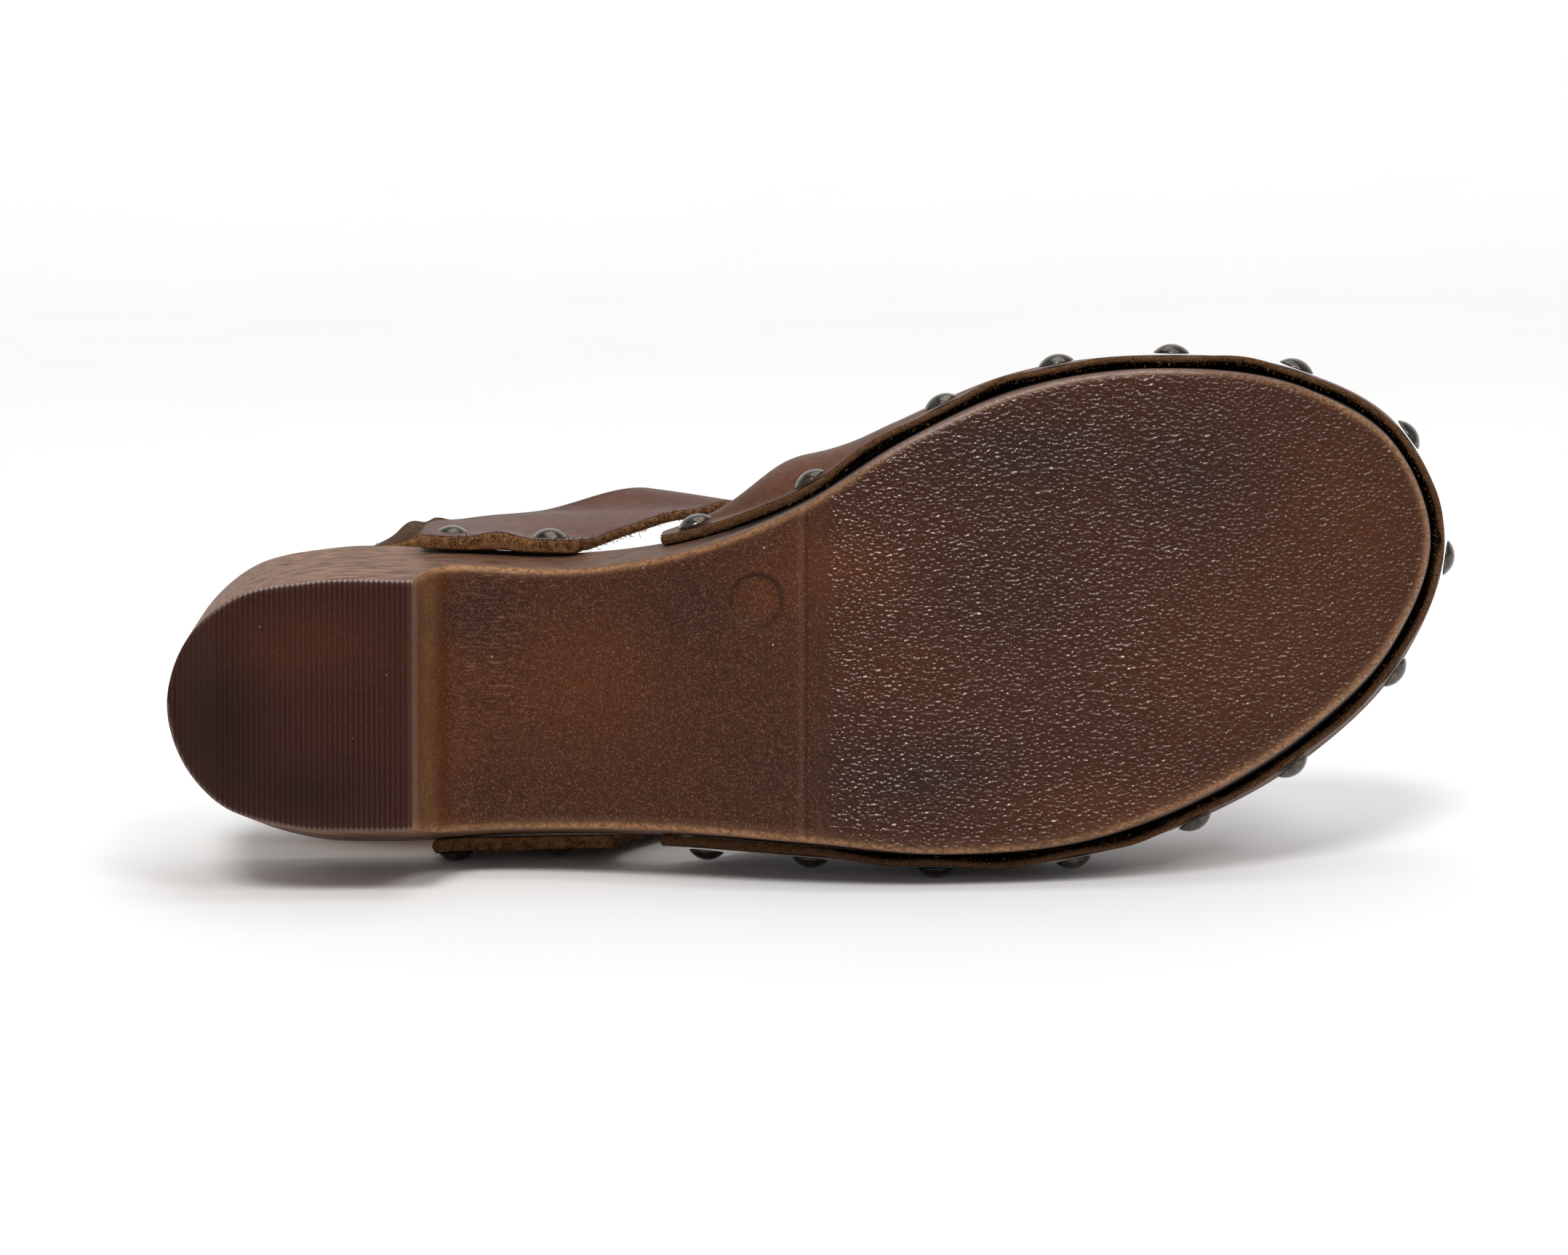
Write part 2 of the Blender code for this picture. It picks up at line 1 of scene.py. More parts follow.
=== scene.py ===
"""Looks of a left clog sandal that lies on its outer side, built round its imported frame.

Every piece is worked out in the shoe's own frame, in millimetres: x runs from heel to toe, y points to
the outer side and z rises from the tread. The record's two tread mounts say where that frame lies.
"""

import json
import math

import bmesh
import bpy
import numpy as np
from mathutils import Matrix, Vector


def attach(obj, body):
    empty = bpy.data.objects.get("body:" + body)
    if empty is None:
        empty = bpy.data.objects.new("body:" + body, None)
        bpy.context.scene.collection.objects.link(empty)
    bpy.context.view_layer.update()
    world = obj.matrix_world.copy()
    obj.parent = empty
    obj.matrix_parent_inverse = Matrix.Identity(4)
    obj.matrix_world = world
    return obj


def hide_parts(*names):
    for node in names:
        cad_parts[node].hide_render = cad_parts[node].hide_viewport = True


bl_info = {
    "name": "Clog sandal finishes",
    "version": (1, 0, 0),
    "blender": (4, 5, 0),
    "location": "3D View > Sidebar > Clog",
    "description": "Sole, leather, studs and stage of a left clog sandal around its packed frame",
    "category": "Add Mesh",
}

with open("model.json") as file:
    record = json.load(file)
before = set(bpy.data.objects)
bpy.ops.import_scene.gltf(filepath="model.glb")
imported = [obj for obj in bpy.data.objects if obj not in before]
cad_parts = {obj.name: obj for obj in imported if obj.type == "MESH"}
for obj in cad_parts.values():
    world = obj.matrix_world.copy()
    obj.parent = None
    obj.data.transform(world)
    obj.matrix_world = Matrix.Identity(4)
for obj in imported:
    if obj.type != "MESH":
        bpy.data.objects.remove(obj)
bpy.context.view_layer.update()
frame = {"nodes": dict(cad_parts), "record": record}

MM = 0.001

# Where the heel's mount lies along the shoe, in millimetres
HEEL_MOUNT_X = 28.0

# Shape of the sole and the gaps between pieces, in millimetres
GAP = 0.3
BREAST_X = 52.4
BREAST_FILLET = 2.4
SPRING_FROM_X = 195.0
SPRING_TO_X = 250.0
TOE_SPRING = 9.0
SPRING_POWER = 1.6
TOP_ROUND = 0.8
INSOLE = 1.6
INSOLE_INSET = 1.2
INSOLE_ROUND = 0.7
FULL_DISH_WIDTH = 30.0
VAMP_REAR_X = 100.0
EAR_FREE = 5.0
RIDGE_END = 9.0
TEXTURE_LINE_X = 128.8
TEXTURE_LINE_WIDTH = 0.25
TEXTURE_LINE_DEPTH = 0.3
TEXTURE_FADE = 7.0
SCRATCH_X = 66.0
SCRATCH_HALF = 9.0
SCRATCH_TO_Y = (-2.0, 16.0)
RECESS_X = 119.1
RECESS_Y = -20.4
RECESS_RIM = 0.14
RECESS_RIM_OUT = 0.65
RECESS_RIM_HALF = 0.4
RECESS_SOFT_IN = 0.35
RECESS_SOFT_OUT = 0.2

# Heel: how sharp its ribs are, where they start behind its front face, where the edge gets rounder
RIB_POWER = 1.6
RIB_START = (0.2, 0.7)
ROUNDER_FROM = BREAST_X - 1.0
ROUNDER_TO = BREAST_X + 6.0

# How fine each piece is cut
OUTLINE_SAMPLES = 4000
ROWS_PER_RIB = 6
TIP_ROWS = 40
TIP_REACH = 9.0
TIP_POWER = 6
FILLET_ROWS = 26
FILLET_REACH = 3.4
EDGE_STEPS = 6
SIDE_STEPS = 9
TOP_STEPS = 3
BED_COLUMNS = 18
VAMP_ROWS = 250
MARGIN_STEPS = 12
RIB_STEPS = 54
STRAP_STATIONS = 330
STRAP_COLUMNS = 52
BACK_STATIONS = 250
BACK_COLUMNS = 26
RIM_STEPS = 5
STUD_SIDES = 48
STUD_RINGS = 12
MERGE = 1e-6

# Cross-sections in front of the heel: where each stretch ends along the shoe, and its step
ROW_STRETCHES = ((112.0, 0.9), (126.0, 0.36), (132.0, 0.2))
FORE_ROW_STEP = 0.95
INSOLE_ROW_PITCH = 4.0
INSOLE_EDGE_STEPS = 7

# Shares of the way across the tread where the recess lies, and columns before, over and after it
RECESS_SHARES = (0.11, 0.34)
TREAD_COLUMNS = (8, 40, 26)

# Sole's paint: angle round the lower edge where the wall's colour starts, and a reach far from any edge
WALL_FROM_TURN = 0.9
FAR = 20.0

# Painted highlight along the edge round the heel, at its front face and along the inner side of the forefoot
HEEL_HIGHLIGHT = 0.34
HEEL_HIGHLIGHT_FROM = (8.0, 22.0)
OUTER_HIGHLIGHT = 0.35
BREAST_HIGHLIGHT = 0.35
BREAST_HIGHLIGHT_HALF = 0.25
FORE_HIGHLIGHT = 0.7
FORE_HIGHLIGHT_HALF = 0.4
FORE_HIGHLIGHT_FROM = (135.0, 150.0)
FORE_HIGHLIGHT_TO = (195.0, 215.0)

# Rubbed paint: half width of the worn edge on either side, the heel's front face, the texture's line
WORN_IN = 0.75
WORN_OUT = 0.9
BREAST_RUB = 0.42
BREAST_RUB_HALF = 1.7
LINE_RUB = 0.09
LINE_RUB_BACK = 1.0
LINE_RUB_HALF = 0.6

# Painted shade on the sole's wall under the leather: its start above the edge, how that drops at the toe,
# and its fade
PAINTED_SHADE_START = 3.4
PAINTED_SHADE_DROP = 3.0
PAINTED_SHADE_DROP_FROM = (195.0, 228.0)
PAINTED_SHADE_FADE = 3.5
PAINTED_SHADE_FROM = (97.0, 122.0)

# Amber ahead of the heel's front face, and painted shade in the recess's edge and in the texture's line
BREAST_AMBER_AHEAD = 3.0
BREAST_AMBER_HALF = 5.0
RING_SHADE_HALF = 0.7
LINE_SHADE_HALF = 0.4

# Vamp: where its bows calm at the toe, where bows and skive start behind, where the upper part starts
TOE_CALM = (200.0, 245.0)
TAB_BOW = (100.0, 140.0)
TAB_SKIVE = (122.0, 140.0)
UPPER_FROM = (34.0, 46.0)
BOW_REACH = 6.5
SKIVE_REACH = 4.5

# Ear strap: how far the bow and swell of its ends reach, and where its waves start
EAR_REACH = 9.0
OUTER_EAR_BOW = 0.2
STRAP_CALM = (14.0, 34.0)

# Inner ear's rear edge: how far it stands off, where along the strap, and half the length of that
REAR_LIFT = 1.6
REAR_LIFT_AT = 15.0
REAR_LIFT_HALF = 13.0

# Back strap: how a fold slants across it, and how and where it leans away beside the inner ear
FOLD_SLANT = 5.0
LEAN_LOW = -0.3
LEAN_RISE = 4.0
LEAN_X = 49.0
LEAN_HALF = 8.0

# Uneven waves of the leather: height, usual length and seed
WAVES = {
    "margin": (0.35, 70.0, 3),
    "vamp": (0.12, 31.0, 5),
    "strap": (0.35, 48.0, 11),
    "back_strap": (0.22, 16.0, 17),
}

# Cut rim: how far it bulges, its waves and roughness, dark or pale, and its reach into the leather
RIM_BULGE = 0.32
RIM_WAVE = (0.08, 0.14)
RIM_WAVELENGTH = 2.6
RIM_ROUGH = (0.04, 0.09)
EDGE_FADE = 2.0

# Loose fibres: how far a root stands off, how a fibre strays and bends, its lengths' spread and taper
FIBRE_ROOT = 0.2
FIBRE_STRAY = 0.55
FIBRE_BEND = 0.28
FIBRE_SPREAD = (1.6, 2.4)
FIBRE_TAPER = (1.0, 0.9, 0.65, 0.2)
FIBRE_SIDES = 3

# Leather rims: seed, how pale the cut is, fibres for each millimetre, their share of the usual length
RIMS = {
    "vamp": (21, 0.25, 5.0, 0.6),
    "strap": (31, 1.0, 13.0, 1.35),
    "back_strap": (41, 0.6, 8.0, 1.0),
}

# Nail heads: those on the ears come last, and those past this place face away from the toe's middle
EAR_STUDS = 4
TOE_STUDS_X = 235.0
TOE_MIDDLE = (200.0, -30.0)

# Height of a nail head's rim, and how far its dome is drawn in above it
STUD_RIM = 0.28
STUD_DRAW = 0.995

# Lights: name, share of the main light and place along X of each main light, and the sky's colour
KEYS = (("key", 0.7, -0.2), ("toe_key", 0.3, 0.6))
KEY_BACK = -0.95
KEY_HEIGHT = 1.1
FILL_SIZE = (1.1, 0.6)
FILL_PLACE = (0.1, 0.05, 1.0)
LIGHT_TARGET = (0.0, 0.0, 0.05)
SKY_COLOUR = (0.94, 0.97, 1.0, 1.0)


def table(columns, *rows):
    """Columns of numbers by name, from a row for each section or landmark."""
    return dict(zip(columns.split(), np.array(rows, float).T))


# Edge of the tread seen from above, from the back of the heel along the inner side to the toe and
# back along the outer side, and how far the foot-bed's edge stands outside it
OUTLINE = table(
    "x y flare",
    (4.4, 0.0, 4.4),
    (8.0, -12.3, 4.8),
    (17.5, -21.0, 5.6),
    (32.0, -24.1, 6.0),
    (52.0, -24.4, 6.0),
    (85.0, -24.2, 5.2),
    (110.0, -30.6, 2.8),
    (128.0, -38.6, 1.4),
    (148.0, -51.2, 0.9),
    (170.0, -61.0, 1.4),
    (198.0, -65.3, 1.2),
    (226.8, -60.9, 2.6),
    (242.4, -51.0, 4.4),
    (249.8, -33.0, 5.6),
    (242.5, -12.3, 5.6),
    (226.6, 4.2, 5.2),
    (205.6, 17.7, 4.2),
    (184.0, 26.0, 3.0),
    (156.0, 29.0, 2.0),
    (128.0, 26.6, 2.8),
    (99.0, 23.9, 4.2),
    (70.0, 23.2, 5.4),
    (43.0, 24.4, 6.0),
    (28.5, 23.7, 6.0),
    (14.3, 19.0, 5.4),
    (7.2, 10.6, 4.8),
)

# Underside of the waist, from the heel's front face to the forefoot
WAIST = table(
    "x height",
    (50.0, 20.5),
    (64.0, 19.8),
    (77.0, 17.8),
    (92.0, 13.2),
    (106.0, 8.2),
    (120.0, 4.0),
    (133.0, 1.2),
    (145.0, 0.0),
    (160.0, 0.0),
)

# Foot-bed: height of its edge above the tread, and how deep it is dished
BED = table(
    "x height dish",
    (-5.0, 45.2, 2.0),
    (20.0, 44.6, 4.2),
    (50.0, 43.4, 4.2),
    (75.0, 39.6, 3.4),
    (100.0, 33.4, 2.6),
    (125.0, 26.8, 2.0),
    (150.0, 22.8, 1.6),
    (175.0, 21.8, 1.5),
    (200.0, 22.2, 1.5),
    (225.0, 24.4, 1.2),
    (256.0, 30.6, 0.8),
)

# How far the vamp's margin laps down the side of the sole
LAP = table("x depth", (95.0, 7.0), (112.0, 7.6), (130.0, 9.6), (155.0, 11.2), (260.0, 10.4))

# Ridge along the top of the vamp, from the throat to the toe
RIDGE = table(
    "x y z",
    (146.0, -12.0, 79.0),
    (165.0, -15.5, 70.5),
    (185.0, -19.5, 62.5),
    (205.0, -24.0, 56.0),
    (222.0, -28.0, 50.5),
)

# Ribs of the vamp from the throat (0) to the toe (1): where each stands on the ridge, how it leaves
# the sole on either side (out, up and forward), and how wide it bends at the ridge
RIBS = table(
    "at ridge_x bulge_in bulge_out rise lean crown",
    (0.00, 146.0, 9.0, 3.0, 13.0, 26.0, 25.0),
    (0.12, 152.0, 23.0, 1.5, 19.0, 9.0, 25.0),
    (0.25, 160.0, 11.0, 0.5, 22.0, 4.0, 24.0),
    (0.50, 181.0, 3.0, 1.0, 20.0, 1.0, 22.0),
    (0.75, 204.0, 3.0, 6.5, 16.0, 0.0, 16.0),
    (1.00, 222.0, 3.5, 3.5, 14.0, 0.0, 14.0),
)

# Outer face of the strap from the inner ear over the instep to the outer ear: its front and rear edges
STRAP = table(
    "front_x front_y front_z rear_x rear_y rear_z",
    (82.0, -31.0, 31.8, 50.6, -31.6, 33.2),
    (86.0, -32.2, 45.0, 51.4, -33.8, 52.0),
    (94.0, -35.4, 56.0, 58.0, -35.8, 66.0),
    (104.0, -37.9, 69.0, 72.0, -37.8, 79.0),
    (115.0, -38.5, 81.0, 96.5, -41.4, 92.0),
    (127.0, -29.0, 90.0, 114.0, -32.5, 101.5),
    (131.0, -7.0, 95.0, 117.0, -7.5, 107.5),
    (127.0, 14.0, 90.0, 110.0, 15.0, 101.5),
    (116.0, 26.0, 79.0, 92.0, 27.6, 90.5),
    (106.0, 28.4, 67.0, 75.0, 28.8, 78.0),
    (98.0, 29.8, 56.0, 61.0, 30.4, 65.0),
    (91.5, 30.6, 45.0, 54.2, 31.4, 52.0),
    (89.5, 30.2, 34.6, 53.2, 31.0, 36.4),
)

# Outer face of the back strap from the inner ear round the heel to the outer ear: its two edges
BACK_STRAP = table(
    "low_x low_y low_z high_x high_y high_z",
    (68.0, -32.0, 57.0, 71.0, -34.0, 73.0),
    (58.0, -32.0, 57.0, 60.0, -33.2, 73.5),
    (46.0, -31.4, 58.0, 48.0, -32.2, 74.5),
    (32.0, -27.8, 60.0, 33.5, -28.4, 76.0),
    (17.0, -18.6, 61.5, 18.0, -18.8, 77.0),
    (9.4, 0.0, 62.0, 10.0, 0.0, 77.5),
    (17.0, 18.2, 61.5, 18.0, 18.0, 77.0),
    (33.0, 26.0, 60.0, 34.5, 25.8, 76.0),
    (47.0, 27.6, 58.0, 49.0, 26.6, 74.5),
    (60.0, 27.6, 57.0, 62.0, 26.4, 73.5),
    (70.0, 27.0, 57.0, 73.0, 25.6, 73.0),
)

# Stains of the wood-look paint on the underside: middle, half sizes and strength
AMBER = table(
    "x y half_x half_y strength",
    (84.0, -4.0, 16.0, 15.0, 0.9),
    (62.0, 3.0, 8.0, 16.0, 0.5),
    (134.0, -27.0, 15.0, 8.0, 0.9),
    (150.0, -8.0, 20.0, 10.0, 0.35),
    (215.0, -8.0, 30.0, 18.0, 0.45),
    (236.0, -34.0, 20.0, 24.0, 0.5),
    (184.0, 19.0, 26.0, 6.0, 0.6),
    (24.0, -10.0, 9.0, 6.0, 0.3),
    (36.0, -12.0, 13.0, 7.0, 0.45),
    (119.1, -20.0, 5.6, 5.6, 0.7),
)
PLUM = table(
    "x y half_x half_y strength",
    (62.0, -17.0, 8.0, 6.0, 0.8),
    (62.0, 18.0, 8.0, 5.0, 0.35),
    (106.0, -19.0, 9.0, 7.0, 0.4),
    (172.0, -50.0, 26.0, 9.0, 0.75),
    (168.0, -22.0, 18.0, 14.0, 0.55),
    (205.0, -44.0, 14.0, 12.0, 0.5),
    (150.0, 14.0, 24.0, 8.0, 0.8),
    (14.0, 4.0, 9.0, 14.0, 0.9),
    (32.0, 17.0, 13.0, 6.0, 0.6),
)

# How far the paint is rubbed off the lower edge, along the inner and the outer side
EDGE_WEAR = table(
    "x inner outer",
    (0.0, 0.25, 0.25),
    (48.0, 0.2, 0.45),
    (54.0, 1.0, 0.7),
    (66.0, 1.0, 0.8),
    (90.0, 0.75, 0.9),
    (110.0, 0.7, 0.9),
    (140.0, 0.5, 0.75),
    (190.0, 0.35, 0.7),
    (225.0, 0.5, 0.85),
    (242.0, 0.7, 0.7),
    (256.0, 0.7, 0.7),
)

# Soft creases of the vamp over the toes: middle, direction in degrees, half sizes and height
CREASES = table(
    "x y turn half_long half_wide height",
    (158.0, -34.0, 62.0, 20.0, 3.0, -0.7),
    (165.0, -33.0, 64.0, 20.0, 3.4, 0.5),
    (163.0, 6.0, 112.0, 18.0, 3.0, -0.6),
    (170.0, 5.0, 114.0, 18.0, 3.4, 0.45),
    (186.0, -36.0, 70.0, 15.0, 3.5, -0.4),
    (152.0, -13.0, 90.0, 14.0, 3.2, -0.5),
)

# Folds across the back strap beside the inner ear: place along it, half width and height
FOLDS = table("at half height", (17.0, 1.6, -0.9), (21.0, 2.2, 0.7))

# Lower rim of a nail head: how far each ring is drawn in, and its height
STUD_FOOT = table("inset up", (0.45, 0.0), (0.1, 0.04), (0.0, 0.16))


def shoe_frame():
    """Axes and origin of the shoe's frame in the row frame, from the two mounts on the tread."""
    mounts = {mount["name"]: mount for mount in frame["record"]["mounts"]}
    heel, fore = (np.array(mounts[name]["pos_m"]) for name in ("heel_tread", "forefoot_tread"))
    forward = unit(fore - heel)
    up = -unit(np.array(mounts["heel_tread"]["axis"]))
    side = np.cross(up, forward)
    return np.column_stack([forward, side, up]), heel - HEEL_MOUNT_X * MM * forward


def unit(vectors):
    """Vectors brought to length 1."""
    return vectors / np.linalg.norm(vectors, axis=-1, keepdims=True)


AXES, ORIGIN = shoe_frame()


def placed(points):
    """Points of the shoe's frame, in millimetres, as points of the row frame, in metres."""
    return points * MM @ AXES.T + ORIGIN


def smooth(at, knots, values):
    """Cubic curve through values at rising knots, each slope taken from the neighbours."""
    slopes = np.gradient(values, knots, axis=0)
    span = np.clip(np.searchsorted(knots, at) - 1, 0, len(knots) - 2)
    width = knots[span + 1] - knots[span]
    t = np.clip((at - knots[span]) / width, 0.0, 1.0)
    if values.ndim > 1:
        t = t[..., None]
        width = width[..., None]
    start = (1 + 2 * t) * (1 - t) ** 2 * values[span] + t * (1 - t) ** 2 * width * slopes[span]
    end = t**2 * (3 - 2 * t) * values[span + 1] + t**2 * (t - 1) * width * slopes[span + 1]
    return start + end


def eased(value, low, high):
    """0 below low, 1 above high, and a cubic ease between them."""
    t = np.clip((value - low) / (high - low), 0.0, 1.0)
    return t * t * (3 - 2 * t)


def hump(value, half):
    """Bell of height 1 that falls to 1/e at half."""
    return np.exp(-((value / half) ** 2))


def ripple(run, wavelength, seed, terms=6):
    """Uneven line of height about 1: a sum of sines whose lengths and starts come from a seed."""
    draw = np.random.default_rng(seed)
    lengths = wavelength * draw.uniform(0.55, 1.9, terms)
    starts = draw.uniform(0.0, 2 * math.pi, terms)
    waves = np.sin(2 * math.pi * run[..., None] / lengths + starts)
    return waves.sum(axis=-1) * math.sqrt(2 / terms)


def waves(name, run):
    """Uneven waves of one part of the leather: its ripple times its height."""
    height, usual_length, seed = WAVES[name]
    return height * ripple(run, usual_length, seed)


def columns_of(rows, *names):
    """Some columns of a table side by side, a row for each section."""
    return np.stack([rows[name] for name in names], axis=-1)


def along(points):
    """Distance run along a line of points, from 0 at its first point."""
    steps = np.linalg.norm(np.diff(points, axis=0), axis=1)
    return np.concatenate([[0.0], np.cumsum(steps)])


def spots(rows, x, y):
    """Sum of soft elliptical spots: a bell of the scaled distance from each middle, times its strength."""
    across = (x[..., None] - rows["x"]) / rows["half_x"]
    up = (y[..., None] - rows["y"]) / rows["half_y"]
    return np.clip((rows["strength"] * np.exp(-(across**2) - up**2)).sum(axis=-1), 0.0, 1.0)


def closed_outline():
    """Tread edge, flare and outward normal at many places round the sole."""
    rows = columns_of(OUTLINE, "x", "y", "flare")
    wrapped = np.concatenate([rows[-3:], rows, rows[:4]])
    run = along(wrapped[:, :2])
    at = np.linspace(run[3], run[3 + len(rows)], OUTLINE_SAMPLES, endpoint=False)
    curve = smooth(at, run, wrapped)
    edge = curve[:, :2]
    ahead = np.roll(edge, -1, axis=0) - np.roll(edge, 1, axis=0)
    return edge, curve[:, 2], unit(np.stack([ahead[:, 1], -ahead[:, 0]], axis=-1))


EDGE, FLARE, OUTWARD = closed_outline()


def bed_height(x):
    """Height of the foot-bed's edge above the tread."""
    return smooth(x, BED["x"], BED["height"])


def bottom_height(x):
    """Height of the underside: flat heel, fillet into the waist, flat forefoot, toe spring."""
    fillet = 1 - np.exp(-np.maximum(x - BREAST_X, 0.0) / BREAST_FILLET)
    waist = smooth(x, WAIST["x"], WAIST["height"]) * fillet
    rise = np.maximum(x - SPRING_FROM_X, 0.0) / (SPRING_TO_X - SPRING_FROM_X)
    return waist + TOE_SPRING * rise**SPRING_POWER


def wall_ring(height, clear=0.0):
    """Line round the side of the sole at a height above the tread, clear of it by a distance."""
    out = FLARE * height / bed_height(EDGE[:, 0]) + clear
    ring = EDGE + OUTWARD * np.broadcast_to(out, len(EDGE))[:, None]
    return np.column_stack([ring, np.broadcast_to(height, len(ring))])


def two_sides(ring):
    """Inner and outer half of a ring, each from the heel to the toe."""
    start = np.argmin(ring[:, 0])
    ring = np.roll(ring, -start, axis=0)
    toe = np.argmax(ring[:, 0])
    first = ring[: toe + 1]
    second = np.concatenate([ring[:1], ring[:toe - 1 : -1]])
    return (first, second) if first[:, 1].min() < second[:, 1].min() else (second, first)


def side_lines(rows, level, look):
    """Inner and outer line round the sole at one level of its cross-sections.

    A level holds the shares of the underside's and the foot-bed's heights in its own height, the radii
    of the lower edge and the millimetres that come on top, and the radii and millimetres it is inset.
    Each line has a point for every cross-section; its ends ease to the line's own heel and toe tips.
    """
    low, high, radii, lift, inset_radii, inset = level

    def height(x):
        """Height of the level above the tread."""
        return low * bottom_height(x) + high * bed_height(x) + radii * edge_round(x, look) + lift

    edge_x = EDGE[:, 0]
    ring = wall_ring(height(edge_x), -inset_radii * edge_round(edge_x, look) - inset)
    sides = two_sides(ring)
    share = (rows - rows[0]) / (rows[-1] - rows[0])
    tips = sides[0][0, 0], sides[0][-1, 0]
    x = rows + (tips[0] - rows[0]) * (1 - share) ** TIP_POWER + (tips[1] - rows[-1]) * share**TIP_POWER
    lines = [np.column_stack([x, np.interp(x, side[:, 0], side[:, 1]), height(x)]) for side in sides]
    middle = (lines[0] + lines[1]) / 2
    for line in lines:
        line[[0, -1]] = middle[[0, -1]]
    return lines


def sole_rows(pitch):
    """Places of the sole's cross-sections along x.

    They crowd towards both tips as a quarter cosine does, follow the heel's ribs, crowd towards the
    heel's front face, and are closer round the recess and the line where the texture starts.
    """
    low, high = EDGE[:, 0].min(), EDGE[:, 0].max()
    tip = TIP_REACH * (1 - np.cos(np.linspace(0.0, math.pi / 2, TIP_ROWS)))
    heel = np.arange(low + TIP_REACH, BREAST_X - 0.05, pitch / ROWS_PER_RIB)
    fillet = BREAST_X + BREAST_FILLET * FILLET_REACH * np.linspace(0.0, 1.0, FILLET_ROWS) ** 2
    start = fillet[-1] + ROW_STRETCHES[0][1]
    middle = []
    for end, step in (*ROW_STRETCHES, (high - TIP_REACH, FORE_ROW_STEP)):
        middle.append(np.arange(start, end, step))
        start = end
    return np.concatenate([low + tip[:-1], heel, fillet, *middle, (high - tip)[::-1]])


def tread_shares():
    """Shares of the way across the tread, closer together where the recess lies."""
    first, last = RECESS_SHARES
    before, over, after = TREAD_COLUMNS
    ends = np.linspace(0.0, first, before)[:-1], np.linspace(last, 1.0, after)[1:]
    return np.concatenate([ends[0], np.linspace(first, last, over), ends[1]])


def edge_round(x, look):
    """Radius of the lower edge: small round the heel, larger in front of it."""
    heel, front = look.heel_round / MM, look.edge_round / MM
    return heel + (front - heel) * eased(x, ROUNDER_FROM, ROUNDER_TO)


def rib_wave(x, look):
    """Depth of the heel's cross grooves: a raised cosine along x, sharpened at the ridges."""
    wave = 0.5 - 0.5 * np.cos(2 * math.pi * (BREAST_X - x) / (look.rib_pitch / MM))
    return look.rib_depth / MM * wave**RIB_POWER * eased(BREAST_X - x, *RIB_START)


def sole_levels():
    """Levels of the sole's side: a quarter circle at the lower edge, the flared side, the upper edge."""
    quarter = math.pi / 2
    levels = []
    for angle in np.linspace(0.0, quarter, EDGE_STEPS + 1):
        levels.append((1.0, 0.0, 1 - math.cos(angle), 0.0, 1 - math.sin(angle), 0.0))
    for share in np.linspace(0.0, 1.0, SIDE_STEPS + 1)[1:]:
        levels.append((1 - share, share, 1 - share, -TOP_ROUND * share, 0.0, 0.0))
    for angle in np.linspace(0.0, quarter, TOP_STEPS + 1)[1:]:
        drop = TOP_ROUND * (1 - math.sin(angle))
        levels.append((0.0, 1.0, 0.0, -drop, 0.0, TOP_ROUND * (1 - math.cos(angle))))
    return levels


def section_sides(rows, levels, look):
    """Inner and outer side of every cross-section, with a column for each level."""
    lines = [side_lines(rows, level, look) for level in levels]
    return [np.stack([pair[k] for pair in lines], axis=1) for k in (0, 1)]


def around(tread, side, bed):
    """Values round a cross-section: the tread's, the outer side's, the foot-bed's and the inner side's."""
    return np.concatenate([tread, side[..., 1:], bed, side[..., :0:-1]], axis=-1)


def sole_surface(look):
    """Rings of the sole and its masks.

    Each cross-section runs across the tread, round the lower edge on a quarter circle, up the flared
    side, round the upper edge and back across the dished foot-bed.
    """
    rows = sole_rows(look.rib_pitch / MM)
    inner, outer = section_sides(rows, sole_levels(), look)
    share = tread_shares()
    tread = inner[:, :1] * (1 - share[:, None]) + outer[:, :1] * share[:, None]
    bed = dished(inner[:, -1], outer[:, -1], np.linspace(0.0, 1.0, BED_COLUMNS + 2)[1:-1])
    rings = np.concatenate([tread, outer[:, 1:], bed[:, ::-1], inner[:, :0:-1]], axis=1)

    # angle reached round the lower edge, which stays at a right angle further up
    turn = math.pi / 2 * np.minimum(np.arange(inner.shape[1]) / EDGE_STEPS, 1.0)
    radius = edge_round(rows, look)[:, None]
    rise = np.maximum(inner[..., 2] - inner[:, EDGE_STEPS : EDGE_STEPS + 1, 2], 0.0)
    tread_reach = math.pi / 4 * radius + edge_distance(inner[:, 0], outer[:, 0], share)
    bed_reach = np.full((len(rows), BED_COLUMNS), FAR)
    reach = around(tread_reach, (turn - math.pi / 4) * radius + rise, bed_reach)
    lift = around(0 * tread_reach, rise, 0 * bed_reach)
    wall = eased(turn, WALL_FROM_TURN, math.pi / 2)
    flat, bare = np.zeros(len(share)), np.zeros(BED_COLUMNS)
    side = around(flat, wall, bare + 1)
    fade = around(flat + 1, np.cos(turn), bare)
    is_bed = around(flat, 0 * wall, bare + 1)
    masks = sole_masks(rings, reach, side, is_bed, lift)
    masks["groove"] = fade * rib_wave(rings[..., 0], look) / (look.rib_depth / MM)
    away = np.hypot(rings[..., 0] - RECESS_X, rings[..., 1] - RECESS_Y)
    # painted shade along the recess's edge and in the texture's line
    line = hump(rings[..., 0] - TEXTURE_LINE_X, LINE_SHADE_HALF)
    ring = hump(away - look.recess_radius / MM, RING_SHADE_HALF)
    masks["ring"] = fade * np.maximum(ring, line)
    return carved(rings, fade, look), masks


def edge_distance(inner, outer, share):
    """Distance of tread points from the tread's edge: their gap across, times the edge's cosine."""
    width = (outer[:, 1] - inner[:, 1])[:, None]
    found = []
    for line, part in ((inner, share), (outer, 1 - share)):
        slope = np.gradient(line[:, 1], line[:, 0])
        cosine = 1 / np.sqrt(1 + slope**2)
        found.append(part[None] * width * cosine[:, None])
    return np.minimum(*found)


